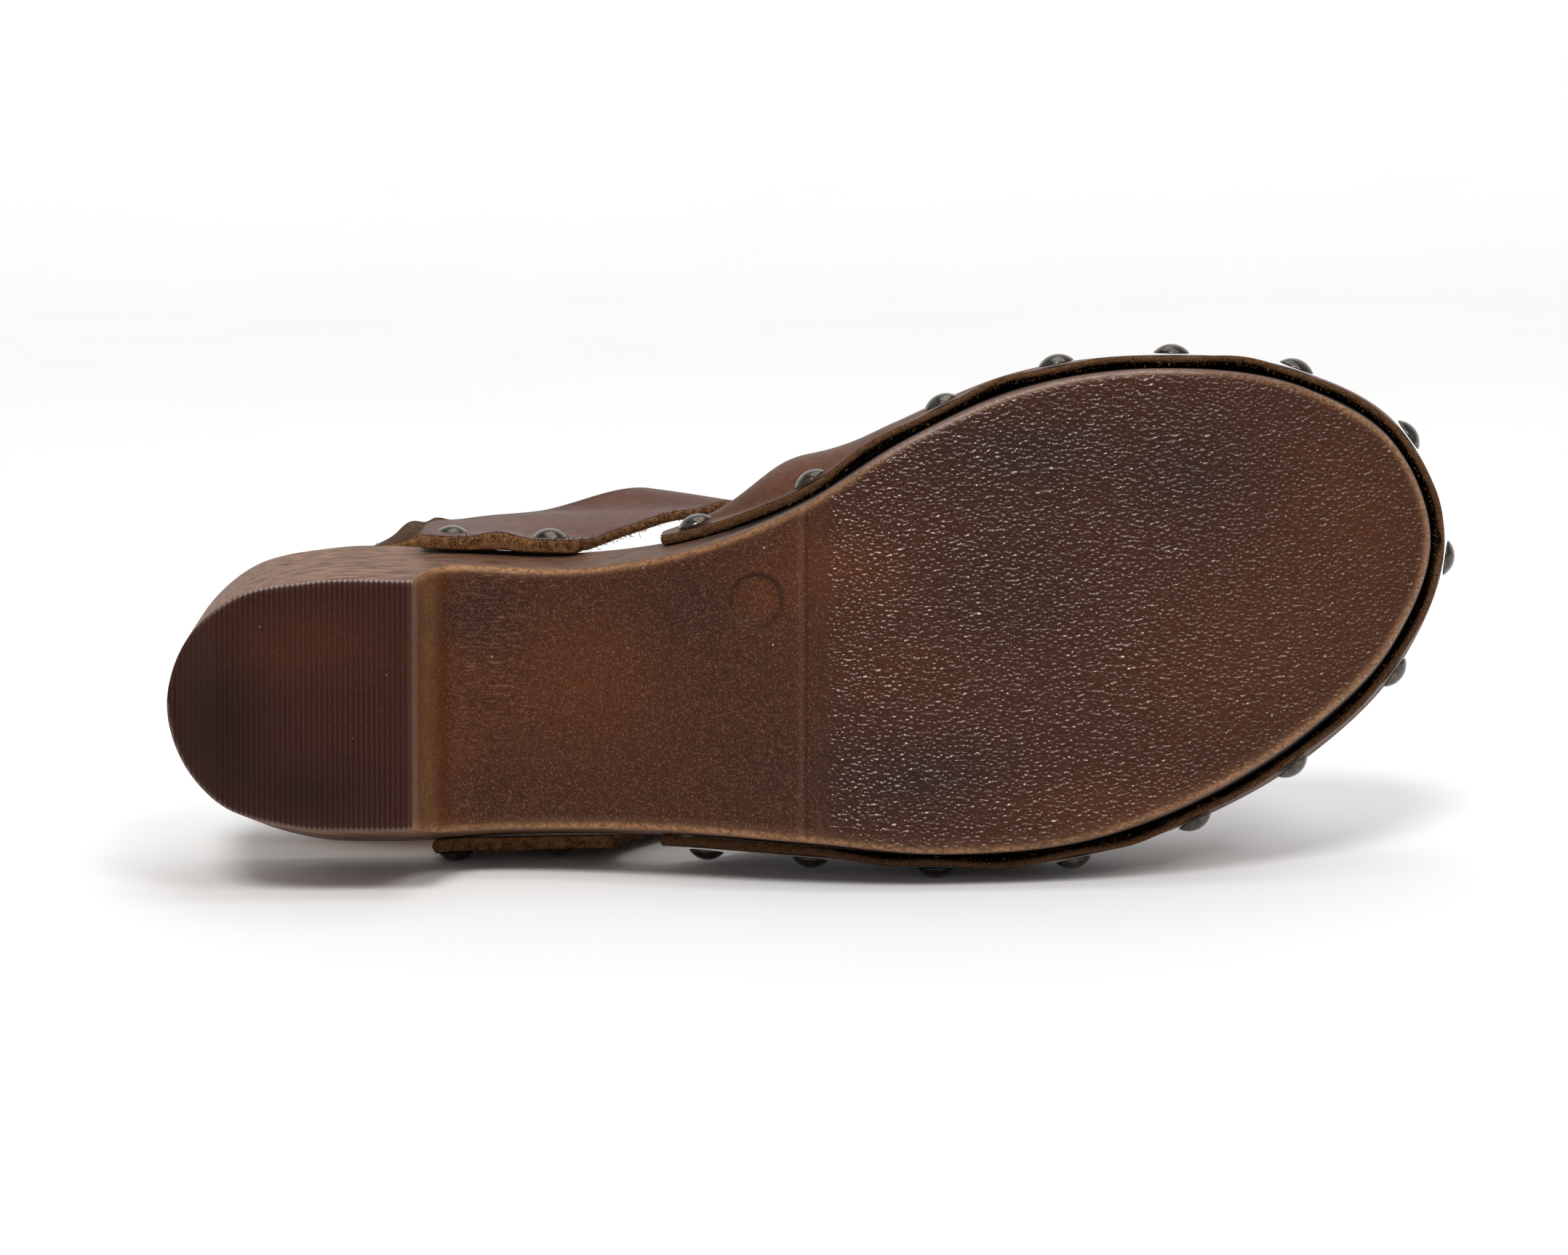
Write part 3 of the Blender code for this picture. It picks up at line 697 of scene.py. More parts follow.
def dished(inner, outer, share):
    """Grid between two lines, sunk towards the middle by the foot-bed's dish."""
    grid = inner[:, None] * (1 - share[:, None]) + outer[:, None] * share[:, None]
    width = np.linalg.norm(outer - inner, axis=1)
    dish = smooth(inner[:, 0], BED["x"], BED["dish"]) * np.clip(width / FULL_DISH_WIDTH, 0.0, 1.0)
    grid[..., 2] -= dish[:, None] * (1 - (2 * share - 1) ** 2)
    return grid


def carved(rings, fade, look):
    """Rings with the heel's grooves, the round recess and the line at the texture's start cut in.

    Each cut lifts the underside by its depth; the recess is a soft-edged disc with a faint raised rim.
    """
    x, y = rings[..., 0], rings[..., 1]
    away = np.hypot(x - RECESS_X, y - RECESS_Y)
    radius = look.recess_radius / MM
    disc = look.recess_depth / MM * (1 - eased(away, radius - RECESS_SOFT_IN, radius + RECESS_SOFT_OUT))
    rim = RECESS_RIM * hump(away - radius - RECESS_RIM_OUT, RECESS_RIM_HALF)
    line = TEXTURE_LINE_DEPTH * hump(x - TEXTURE_LINE_X, TEXTURE_LINE_WIDTH)
    cut = rings.copy()
    cut[..., 2] += fade * (rib_wave(x, look) + disc - rim + line)
    return cut


def sole_masks(rings, reach, side, is_bed, lift):
    """Masks of the sole's paint: worn edge, painted highlight round the heel, heel, texture, wall, stains
    and painted shade on the upper wall.

    Edges and lines are bells of the distance from them, and the rest is eased in along the shoe.
    """
    x, y = rings[..., 0], rings[..., 1]
    inner = y < np.interp(x, *centre_line())
    wear_in, wear_out = (smooth(x, EDGE_WEAR["x"], EDGE_WEAR[name]) for name in ("inner", "outer"))
    worn = np.where(inner, wear_in, wear_out) * hump(reach, np.where(inner, WORN_IN, WORN_OUT))
    under = 1 - side
    heel = 1 - eased(x, BREAST_X - 0.4, BREAST_X + 0.1)
    breast = hump(x - BREAST_X - BREAST_RUB_HALF, BREAST_RUB_HALF) * under
    ridge = hump(x - TEXTURE_LINE_X + LINE_RUB_BACK, LINE_RUB_HALF) * under
    # painted highlight on the edge round the heel, strongest on the inner side, which faces the light, and
    # on the heel's front edge and the forefoot's inner edge
    lip = heel * hump(reach, HEEL_HIGHLIGHT) * np.where(inner, eased(x, *HEEL_HIGHLIGHT_FROM), OUTER_HIGHLIGHT)
    lip = lip + BREAST_HIGHLIGHT * hump(x - BREAST_X - BREAST_HIGHLIGHT_HALF, BREAST_HIGHLIGHT_HALF) * under
    fore_edge_highlight = inner * eased(x, *FORE_HIGHLIGHT_FROM) * (1 - eased(x, *FORE_HIGHLIGHT_TO))
    lip = lip + FORE_HIGHLIGHT * hump(reach, FORE_HIGHLIGHT_HALF) * fore_edge_highlight
    wear = np.clip(worn * (1 - heel) + BREAST_RUB * breast + LINE_RUB * ridge, 0.0, 1.0)
    # painted shade: the sole's wall darkens up to the leather's margin, where the gap under the leather lies
    # in shade
    start = PAINTED_SHADE_START - PAINTED_SHADE_DROP * eased(x, *PAINTED_SHADE_DROP_FROM)
    dark = eased(lift, start, start + PAINTED_SHADE_FADE) * eased(x, *PAINTED_SHADE_FROM)
    breast_amber = hump(x - BREAST_X - BREAST_AMBER_AHEAD, BREAST_AMBER_HALF) * (1 - heel)
    scratch = hump(x - SCRATCH_X, SCRATCH_HALF) * (1 - eased(y, *SCRATCH_TO_Y)) * under * (1 - heel)
    return {
        "wear": wear,
        # painted highlight round the heel and along the forefoot's inner edge
        "lip": np.clip(lip, 0.0, 1.0),
        "heel": heel * under,
        "fore": eased(x, TEXTURE_LINE_X, TEXTURE_LINE_X + TEXTURE_FADE) * under,
        "wall": np.broadcast_to(side, x.shape),
        # painted shade on the wall under the leather
        "dark": dark,
        "amber": np.clip(spots(AMBER, x, y) + breast_amber, 0.0, 1.0),
        "plum": spots(PLUM, x, y),
        "bed": np.broadcast_to(is_bed, x.shape),
        "scratch": scratch,
    }


def centre_line():
    """Line down the middle of the tread: x, and the mean of both edges there."""
    inner, outer = two_sides(np.column_stack([EDGE, FLARE]))
    x = np.linspace(inner[0, 0], inner[-1, 0], 200)
    return x, (np.interp(x, inner[:, 0], inner[:, 1]) + np.interp(x, outer[:, 0], outer[:, 1])) / 2


def insole_surface(look):
    """Rings of the sock: its dished top, a half-round edge and its underside, section by section."""
    rows = sole_rows(INSOLE_ROW_PITCH)
    share = np.linspace(0.0, 1.0, 3 * BED_COLUMNS)
    levels = []
    for angle in np.linspace(-math.pi / 2, math.pi / 2, INSOLE_EDGE_STEPS):
        lift = GAP + INSOLE / 2 * (1 + math.sin(angle))
        levels.append((0.0, 1.0, 0.0, lift, 0.0, INSOLE_INSET + INSOLE_ROUND * (1 - math.cos(angle))))
    inner, outer = section_sides(rows, levels, look)
    top = dished(inner[:, -1], outer[:, -1], share)
    low = dished(inner[:, 0], outer[:, 0], share)
    return np.concatenate([low, outer[:, 1:-1], top[:, ::-1], inner[:, -2:0:-1]], axis=1)


def grid_faces(rows, columns, first=0):
    """Four-cornered faces of a grid of points that is stored row by row."""
    corner = first + np.arange(rows - 1)[:, None] * columns + np.arange(columns - 1)[None, :]
    return np.stack([corner, corner + 1, corner + columns + 1, corner + columns], axis=-1).reshape(-1, 4)


def band_faces(one, other):
    """Faces between two closed loops of point numbers of equal length."""
    return np.stack([one, np.roll(one, -1), np.roll(other, -1), other], axis=-1)


def ring_faces(rings, count):
    """Faces through rings of points that are stored ring after ring."""
    number = np.arange(rings * count).reshape(rings, count)
    return np.concatenate([band_faces(number[k], number[k + 1]) for k in range(rings - 1)])


def margin_depth(x):
    """How far the vamp's margin laps down the sole."""
    return smooth(x, LAP["x"], LAP["depth"])


def margin_ring(lift, thickness):
    """Line on the outside of the vamp's margin, a height above its lower edge."""
    height = bed_height(EDGE[:, 0]) - margin_depth(EDGE[:, 0]) + lift
    return wall_ring(height, GAP + thickness)


def from_rear(side, share):
    """Points along one half of a ring by their share of the way from the vamp's rear to the toe."""
    run = along(side[:, :2])
    start = np.interp(VAMP_REAR_X, side[:, 0], run)
    at = start + (run[-1] - start) * share
    return np.stack([np.interp(at, run, side[:, k]) for k in range(side.shape[1])], axis=-1)


def vamp_side(inner, thickness):
    """Ribs of one half of the vamp: straight up the margin, then a cubic curve to the ridge."""
    share = np.linspace(0.0, 1.0, VAMP_ROWS)
    low = margin_ring(np.zeros(len(EDGE)), thickness)
    foot = np.column_stack([wall_ring(bed_height(EDGE[:, 0]), GAP + thickness), OUTWARD])
    pick = 0 if inner else 1
    low = from_rear(two_sides(low)[pick], share)
    foot = from_rear(two_sides(foot)[pick], share)
    out = unit(foot[:, 3:])
    foot = foot[:, :3]
    rib = {name: smooth(share, RIBS["at"], RIBS[name]) for name in RIBS}
    ridge = np.column_stack(
        [rib["ridge_x"]] + [smooth(rib["ridge_x"], RIDGE["x"], RIDGE[name]) for name in ("y", "z")]
    )
    slope = np.gradient(ridge[:, 2], ridge[:, 0])
    bulge = rib["bulge_in"] if inner else rib["bulge_out"]
    knee = foot + np.column_stack([out * bulge[:, None], rib["rise"]])
    knee[:, 0] += rib["lean"]
    turn = math.pi / 2 * (1 - share**2)
    side = -np.sin(turn) if inner else np.sin(turn)
    crown = ridge + rib["crown"][:, None] * np.column_stack([np.cos(turn), side, slope * np.cos(turn)])
    t = np.linspace(0.0, 1.0, RIB_STEPS)[None, :, None]
    points = [foot[:, None], knee[:, None], crown[:, None], ridge[:, None]]
    rise = points[0] * (1 - t) ** 3 + points[1] * 3 * t * (1 - t) ** 2
    rise = rise + points[2] * 3 * t**2 * (1 - t) + points[3] * t**3
    step = np.linspace(0.0, 1.0, MARGIN_STEPS, endpoint=False)[None, :, None]
    margin = low[:, None] * (1 - step) + foot[:, None] * step
    return np.concatenate([margin, rise], axis=1)


def joined_halves(inner_side, outer_side):
    """One grid from two halves that share the ridge."""
    return np.concatenate([inner_side, outer_side[:, -2::-1]], axis=1)


def vamp_grid(thickness):
    """Outer face of the vamp and its normals, both halves joined along the ridge and at the toe."""
    halves = [vamp_side(True, thickness), vamp_side(False, thickness)]
    toe = (halves[0][-1] + halves[1][-1]) / 2
    normals = []
    for half in halves:
        half[-1] = toe
        normal = np.cross(np.gradient(half, axis=0), np.gradient(half, axis=1))
        # at the end of the ridge the ridge and the toe's rib run the same way
        normal[-1, -1] = normal[-2, -1]
        normals.append(unit(normal) * np.sign(normal[..., 2].sum()))
    ridge_normal = unit(normals[0][:, -1] + normals[1][:, -1])
    toe_normal = unit(normals[0][-1] + normals[1][-1])
    for normal in normals:
        normal[:, -1] = ridge_normal
        normal[-1] = toe_normal
    face, normal = joined_halves(*halves), joined_halves(*normals)
    # round the end of the ridge, where the ribs meet, one mean normal takes over
    near = hump(np.linalg.norm(face - toe[-1], axis=2), RIDGE_END)[..., None]
    mean = unit((normal * near).sum(axis=(0, 1)))
    return face, unit(normal * (1 - near) + mean * near)


def margin_bow(face, seats):
    """How far the margin stands off between its nails: the square of a sine from each nail to the next.

    It is worked out along the lower edge, from the inner rear tab round the toe to the outer one.
    """
    edge = np.concatenate([face[:, 0], face[::-1, -1]])
    run = along(edge)
    near = [np.argmin(np.linalg.norm(edge - seat, axis=1)) for seat in seats]
    marks = np.sort(run[near])
    phase = np.interp(run, marks, np.arange(len(marks)))
    bow = np.sin(math.pi * phase) ** 2 * (1 + waves("margin", run))
    return bow[: len(face)], bow[: len(face) - 1 : -1]


def vamp_face(look, seats):
    """Outer face of the vamp, pushed along its normals by the margin's bows and the listed creases."""
    thickness = look.thickness / MM
    face, normals = vamp_grid(thickness)
    inner_bow, outer_bow = margin_bow(face, seats)
    above_inner = np.linalg.norm(face - face[:, :1], axis=2)
    above_outer = np.linalg.norm(face - face[:, -1:], axis=2)
    shoe_x = face[:, :1, 0]
    size = look.bow / MM * (1 - 0.5 * eased(shoe_x, *TOE_CALM)) * eased(shoe_x, *TAB_BOW)
    push = size * inner_bow[:, None] * hump(above_inner, BOW_REACH)
    push = push + size * outer_bow[:, None] * hump(above_outer, BOW_REACH)
    x, y = face[..., 0], face[..., 1]
    high = eased(face[..., 2], *UPPER_FROM)
    for middle_x, middle_y, turn, half_long, half_wide, height in zip(*CREASES.values()):
        cosine, sine = math.cos(math.radians(turn)), math.sin(math.radians(turn))
        long_way = (x - middle_x) * cosine + (y - middle_y) * sine
        wide_way = (y - middle_y) * cosine - (x - middle_x) * sine
        push = push + high * height * hump(long_way, half_long) * hump(wide_way, half_wide)
    push = push + waves("vamp", x + 0.7 * y) * high
    push[-1] = (push[-1] + push[-1, ::-1]) / 2
    # the rear tabs keep their full thickness
    skive = look.skive / MM * eased(shoe_x, *TAB_SKIVE)
    thin = skive * (hump(above_inner, SKIVE_REACH) + hump(above_outer, SKIVE_REACH))
    thin[-1] = (thin[-1] + thin[-1, ::-1]) / 2
    return face + normals * push[..., None], normals, thickness - thin


def ribbon(rows, first, second, stations, columns, corner):
    """Band between two edges that run through a table's points, its four corners rounded.

    Near each end the band's width is drawn in by a quarter circle of the corner's radius.
    """
    one = columns_of(rows, *first)
    two = columns_of(rows, *second)
    run = along((one + two) / 2)
    ease = np.linspace(0.0, math.pi, stations)
    at = run[-1] * (0.75 * np.linspace(0.0, 1.0, stations) + 0.25 * (1 - np.cos(ease)) / 2)
    front, rear = smooth(at, run, one), smooth(at, run, two)
    width = np.linalg.norm(rear - front, axis=1)
    to_end = np.minimum(at, run[-1] - at)
    short = np.clip(corner - to_end, 0.0, corner)
    draw = (corner - np.sqrt(np.maximum(corner**2 - short**2, 0.0))) / width
    share = draw[:, None] + (1 - 2 * draw[:, None]) * np.linspace(0.0, 1.0, columns)
    grid = front[:, None] * (1 - share[..., None]) + rear[:, None] * share[..., None]
    return grid, at, share


def outward_normals(grid):
    """Unit normals of a grid of points, turned away from its middle."""
    normal = unit(np.cross(np.gradient(grid, axis=0), np.gradient(grid, axis=1)))
    middle = grid.reshape(-1, 3).mean(axis=0)
    return normal if np.sum(normal * (grid - middle)) > 0 else -normal


def strap_face(look, seats):
    """Outer face of the ear strap: the band, kept clear of the sole's side, bowed out between the nails."""
    ends = ("front_x", "front_y", "front_z"), ("rear_x", "rear_y", "rear_z")
    grid, at, share = ribbon(STRAP, *ends, STRAP_STATIONS, STRAP_COLUMNS, look.ear_corner / MM)
    edge_in, edge_out = two_sides(np.column_stack([EDGE, FLARE]))
    x = grid[..., 0]
    lift = np.minimum(grid[..., 2] / bed_height(x), 1.0)
    for side, sign in ((edge_in, -1.0), (edge_out, 1.0)):
        wall = np.interp(x, side[:, 0], np.abs(side[:, 1]))
        flare = np.interp(x, side[:, 0], side[:, 2])
        least = wall + flare * lift + GAP + look.thickness / MM
        beside = (np.sign(grid[..., 1]) == sign) & (grid[..., 2] < bed_height(x) + EAR_FREE)
        grid[..., 1] = np.where(beside, sign * np.maximum(np.abs(grid[..., 1]), least), grid[..., 1])
    normals = outward_normals(grid)
    bow = np.zeros(grid.shape[:2])
    # the outer ear lies nearly flat
    inner_ear = seats[0], seats[1], at, 1.0
    outer_ear = seats[2], seats[3], at[-1] - at, OUTER_EAR_BOW
    for first, second, end, part in (inner_ear, outer_ear):
        between = np.clip((x - first[0]) / (second[0] - first[0]), 0.0, 1.0)
        wave = np.sin(math.pi * between) ** 4
        bow = bow + part * look.ear_bow / MM * wave * hump(end[:, None], EAR_REACH)
    end = np.minimum(at, at[-1] - at)[:, None]
    push = bow + waves("strap", at[:, None] + 6 * share) * eased(end, *STRAP_CALM)
    # the inner ear's rear edge stands off the heel
    push = push + REAR_LIFT * hump(at[:, None] - REAR_LIFT_AT, REAR_LIFT_HALF) * share**2
    swell = look.ear_swell / MM * hump(end, EAR_REACH)
    return grid + normals * (push + swell)[..., None], normals, swell + 0.7 * bow + look.thickness / MM


def back_strap_face(look):
    """Outer face of the band round the heel, a little uneven, with a fold beside the inner ear."""
    ends = ("low_x", "low_y", "low_z"), ("high_x", "high_y", "high_z")
    grid, at, share = ribbon(BACK_STRAP, *ends, BACK_STATIONS, BACK_COLUMNS, look.strap_corner / MM)
    normals = outward_normals(grid)
    push = waves("back_strap", at[:, None] + 9 * share)
    for place, half, height in zip(*FOLDS.values()):
        push = push + height * hump(at[:, None] - place - FOLD_SLANT * share, half)
    # beside the inner ear the band leans away from the heel
    beside = hump(grid[..., 0] - LEAN_X, LEAN_HALF) * (grid[..., 1] < 0)
    push = push + (LEAN_LOW + LEAN_RISE * share) * beside
    return grid + normals * push[..., None], normals, look.thickness / MM


def rim_loop(rows, columns, folded):
    """Point numbers round the free edge of a grid, and those one step inside it.

    A folded grid meets itself in its last row, so that row has no rim.
    """
    number = np.arange(rows * columns).reshape(rows, columns)
    edge = [number[::-1, 0], number[0, 1:], number[1:, -1]]
    inside = [number[::-1, 1], number[1, 1:], number[1:, -2]]
    if not folded:
        edge.append(number[-1, -2:0:-1])
        inside.append(number[-2, -2:0:-1])
    return np.concatenate(edge), np.concatenate(inside)


def leather_sheet(face, normals, thickness, seed, pale, folded):
    """Closed sheet: outer face, flesh side one thickness behind it, and a rough rim between them.

    The rim's rings run from the outer edge to the inner one, bulge outwards by a half sine and are
    roughened by seeded noise; pale says how light the cut rim is. Returns points, faces, masks and the
    rim's line, lean and normal.
    """
    rows, columns = face.shape[:2]
    draw = np.random.default_rng(seed)
    count = rows * columns
    loop, inside = rim_loop(rows, columns, folded)
    thickness = np.broadcast_to(thickness, (rows, columns)).reshape(-1, 1)
    points = face.reshape(-1, 3)
    normal = normals.reshape(-1, 3)
    edge = points[loop]
    ahead = np.roll(edge, -1, axis=0) - np.roll(edge, 1, axis=0)
    lean = unit(np.cross(ahead, normal[loop]))
    lean = lean * np.sign(np.sum(lean * (edge - points[inside]), axis=1, keepdims=True))
    run = along(edge)
    t = np.linspace(0.0, 1.0, RIM_STEPS + 2)[1:-1, None, None]
    wave = (RIM_WAVE[0] + RIM_WAVE[1] * pale) * ripple(run, RIM_WAVELENGTH, seed)[None, :, None]
    bulge = (RIM_BULGE + wave) * np.sin(math.pi * t)
    rough = draw.normal(0.0, RIM_ROUGH[0] + RIM_ROUGH[1] * pale, (RIM_STEPS, len(loop), 1))
    rings = edge - thickness[loop] * t * normal[loop] + lean * (bulge + rough)
    number = np.arange(RIM_STEPS * len(loop)).reshape(RIM_STEPS, len(loop)) + 2 * count
    loops = [loop, *number, loop + count]
    faces = [grid_faces(rows, columns), grid_faces(rows, columns, count)[:, ::-1]]
    faces += [band_faces(one, other) for one, other in zip(loops, loops[1:])]
    near = nearness(points, edge)
    rim_points = RIM_STEPS * len(loop)
    masks = {
        "cut": np.concatenate([np.zeros(2 * count), np.ones(rim_points)]),
        "flesh": np.concatenate([np.zeros(count), np.ones(count), np.full(rim_points, 0.5)]),
        "edge": np.concatenate([near, near, np.ones(rim_points)]),
        "pale": np.full(2 * count + rim_points, pale),
    }
    points = np.concatenate([points, points - thickness * normal, rings.reshape(-1, 3)])
    return points, np.concatenate(faces), masks, (edge, lean, normal[loop])


def nearness(points, edge):
    """1 on a free edge, falling as a power of e with the distance from it."""
    square = (points**2).sum(axis=1)[:, None] + (edge**2).sum(axis=1)[None] - 2 * points @ edge.T
    return np.exp(-np.sqrt(np.maximum(square.min(axis=1), 0.0)) / EDGE_FADE)


def fibres(rims, look, seed):
    """Frayed fibres on cut edges: thin three-sided strands that start on a rim and bend as a parabola.

    Each rim gives its line, lean, normal, strands for each millimetre and length.
    """
    draw = np.random.default_rng(seed)
    bases, tips, bends, tones = [], [], [], []
    for (edge, lean, normal), density, length in rims:
        run = along(edge)
        count = int(run[-1] * density)
        at = draw.uniform(0.0, run[-1], count)
        pick = np.clip(np.searchsorted(run, at), 1, len(run) - 1)
        t = ((at - run[pick - 1]) / np.maximum(run[pick] - run[pick - 1], 1e-9))[:, None]
        depth = draw.uniform(0.05, 0.95, (count, 1))
        base = edge[pick - 1] * (1 - t) + edge[pick] * t
        base = base - look.thickness / MM * depth * normal[pick]
        base = base + FIBRE_ROOT * np.sin(math.pi * depth) * lean[pick]
        stray = draw.normal(0.0, FIBRE_STRAY, (count, 3))
        size = length * draw.beta(*FIBRE_SPREAD, (count, 1)) * 2
        way = unit(lean[pick] + stray)
        bases.append(base)
        tips.append(base + way * size)
        bends.append(draw.normal(0.0, FIBRE_BEND, (count, 3)) * size)
        tones.append(draw.uniform(0.0, 1.0, count))
    base, tip, bend = np.concatenate(bases), np.concatenate(tips), np.concatenate(bends)
    tone = np.concatenate(tones)
    rings = len(FIBRE_TAPER)
    t = np.linspace(0.0, 1.0, rings)[None, :, None]
    line = base[:, None] * (1 - t) + tip[:, None] * t + bend[:, None] * 4 * t * (1 - t)
    way = unit(tip - base)
    one = unit(np.cross(way, np.array([0.31, 0.87, 0.38])))
    two = np.cross(way, one)
    turn = 2 * math.pi * np.arange(FIBRE_SIDES) / FIBRE_SIDES
    ring = np.cos(turn)[:, None] * one[:, None] + np.sin(turn)[:, None] * two[:, None]
    radius = look.fibre / MM / 2 * np.array(FIBRE_TAPER)[None, :, None, None]
    points = line[:, :, None] + radius * ring[:, None]
    number = np.arange(len(base) * rings * FIBRE_SIDES).reshape(-1, rings, FIBRE_SIDES)
    beside = np.roll(number, -1, axis=2)
    corners = [number[:, :-1], beside[:, :-1], beside[:, 1:], number[:, 1:]]
    quads = np.stack(corners, axis=-1).reshape(-1, 4)
    caps = np.concatenate([number[:, 0, ::-1], number[:, -1]])
    masks = {"tone": np.repeat(tone, rings * FIBRE_SIDES)}
    return points.reshape(-1, 3), quads.tolist() + caps.tolist(), masks


def stud_seat(node):
    """Middle of a nail head's flat back, and the way it faces, in the shoe's frame.

    The axis is the direction in which the solid is thinnest, turned away from the shoe's middle.
    """
    corners = np.empty(3 * len(node.data.vertices))
    node.data.vertices.foreach_get("co", corners)
    corners = np.unique(np.round((corners.reshape(-1, 3) - ORIGIN) @ AXES / MM, 3), axis=0)
    middle = corners.mean(axis=0)
    axis = np.linalg.svd(corners - middle)[2][2]
    centre = np.array([middle[0], np.interp(middle[0], *centre_line()), middle[2]])
    if middle[0] >= TOE_STUDS_X:
        centre = np.array([*TOE_MIDDLE, middle[2]])
    inward = centre - middle
    if np.dot(axis, inward) > 0:
        axis = -axis
    return middle + axis * ((corners - middle) @ axis).min(), axis


def stud_rings(seat, facing, look):
    """Rings of a dome: a flat back, a short rounded rim and an arc of a circle up to the crown."""
    radius, height = look.radius / MM, look.height / MM
    dome = height - STUD_RIM
    bow = (radius**2 + dome**2) / (2 * dome)
    reach = np.linspace(math.asin(radius / bow), 0.0, STUD_RINGS)
    out = np.concatenate([[0.0], radius - STUD_FOOT["inset"], bow * np.sin(reach) * STUD_DRAW])
    up = np.concatenate([[0.0], STUD_FOOT["up"], bow * np.cos(reach) - bow + height])
    turn = np.linspace(0.0, 2 * math.pi, STUD_SIDES, endpoint=False)
    one = np.array(Vector(facing).orthogonal().normalized())
    two = np.cross(facing, one)
    about = np.cos(turn)[:, None] * one + np.sin(turn)[:, None] * two
    return seat + out[:, None, None] * about + up[:, None, None] * facing


def add_piece(name, points, faces, masks, material, replaced, slot):
    """A closed piece in the row frame: doubles merged, faces outwards, its masks as attributes.

    The attribute "shoe" holds each point's place in the shoe's frame, in millimetres.
    """
    mesh = bpy.data.meshes.new(name)
    mesh.from_pydata(placed(points), [], faces if isinstance(faces, list) else faces.tolist())
    shoe = mesh.attributes.new("shoe", "FLOAT_VECTOR", "POINT")
    shoe.data.foreach_set("vector", points.astype(np.float32).ravel())
    for mask, values in masks.items():
        attribute = mesh.attributes.new(mask, "FLOAT", "POINT")
        attribute.data.foreach_set("value", np.asarray(values, np.float32).ravel())
    work = bmesh.new()
    work.from_mesh(mesh)
    bmesh.ops.remove_doubles(work, verts=work.verts, dist=MERGE)
    bmesh.ops.recalc_face_normals(work, faces=work.faces)
    work.to_mesh(mesh)
    work.free()
    mesh.shade_smooth()
    mesh.materials.append(material)
    piece = bpy.data.objects.new(name, mesh)
    bpy.context.scene.collection.objects.link(piece)
    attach(piece, "root")
    if replaced:
        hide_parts(*replaced)
    return piece


class Shade:
    """A socket of a material's node tree; sums and products of it add Math nodes."""

    def __init__(self, tree, socket=None):
        self.tree = tree
        self.socket = socket

    def node(self, kind, settings, sockets, output=0):
        """A new node's output: its settings are set first, then the values or links of its sockets."""
        node = self.tree.nodes.new(kind)
        for name, value in settings.items():
            setattr(node, name, value)
        for name, value in sockets.items():
            if isinstance(value, Shade):
                self.tree.links.new(value.socket, node.inputs[name])
            else:
                node.inputs[name].default_value = value
        return Shade(self.tree, node.outputs[output])

    def maths(self, operation, first, second):
        """A Math node of two values."""
        return self.node("ShaderNodeMath", {"operation": operation}, {0: first, 1: second})

    def __add__(self, other):
        return self.maths("ADD", self, other)

    def __sub__(self, other):
        return self.maths("SUBTRACT", self, other)

    def __rsub__(self, other):
        return self.maths("SUBTRACT", other, self)

    def __mul__(self, other):
        return self.maths("MULTIPLY", self, other)

    __radd__ = __add__
    __rmul__ = __mul__

    def step(self, low, high):
        """0 below low, 1 above high, eased between them; low may be the larger one."""
        sockets = {"Value": self, "From Min": low, "From Max": high}
        return self.node("ShaderNodeMapRange", {"interpolation_type": "SMOOTHSTEP"}, sockets)

    def mix(self, first, second):
        """Colour between two colours, by this value."""
        settings = {"data_type": "RGBA", "clamp_factor": True}
        first, second = (value if isinstance(value, Shade) else (*value, 1.0) for value in (first, second))
        return self.node("ShaderNodeMix", settings, {0: self, 6: first, 7: second}, output=2)

    def stretched(self, x, y, z):
        """Vector whose parts are multiplied by three numbers."""
        sockets = {0: self, 1: (x, y, z)}
        return self.node("ShaderNodeVectorMath", {"operation": "MULTIPLY"}, sockets)

    def moved(self, x, y, z):
        """Vector with three numbers added to its parts."""
        return self.node("ShaderNodeVectorMath", {"operation": "ADD"}, {0: self, 1: (x, y, z)})

    def noise(self, size, detail=3.0, rough=0.55, warp=0.0):
        """Cloudy noise of a size in millimetres, about 0.5 on average."""
        sockets = {"Vector": self, "Scale": 1 / size, "Detail": detail}
        sockets.update({"Roughness": rough, "Distortion": warp})
        return self.node("ShaderNodeTexNoise", {}, sockets)

    def cells(self, size, feature="SMOOTH_F1"):
        """Distance to the nearest of scattered points, a size in millimetres apart."""
        sockets = {"Vector": self, "Scale": 1 / size, "Randomness": 1.0}
        return self.node("ShaderNodeTexVoronoi", {"feature": feature}, sockets, "Distance")

    def bumped(self, depth):
        """Normal of a surface raised by this height times a depth in millimetres."""
        return self.node("ShaderNodeBump", {}, {"Height": self, "Strength": 1.0, "Distance": depth * MM})


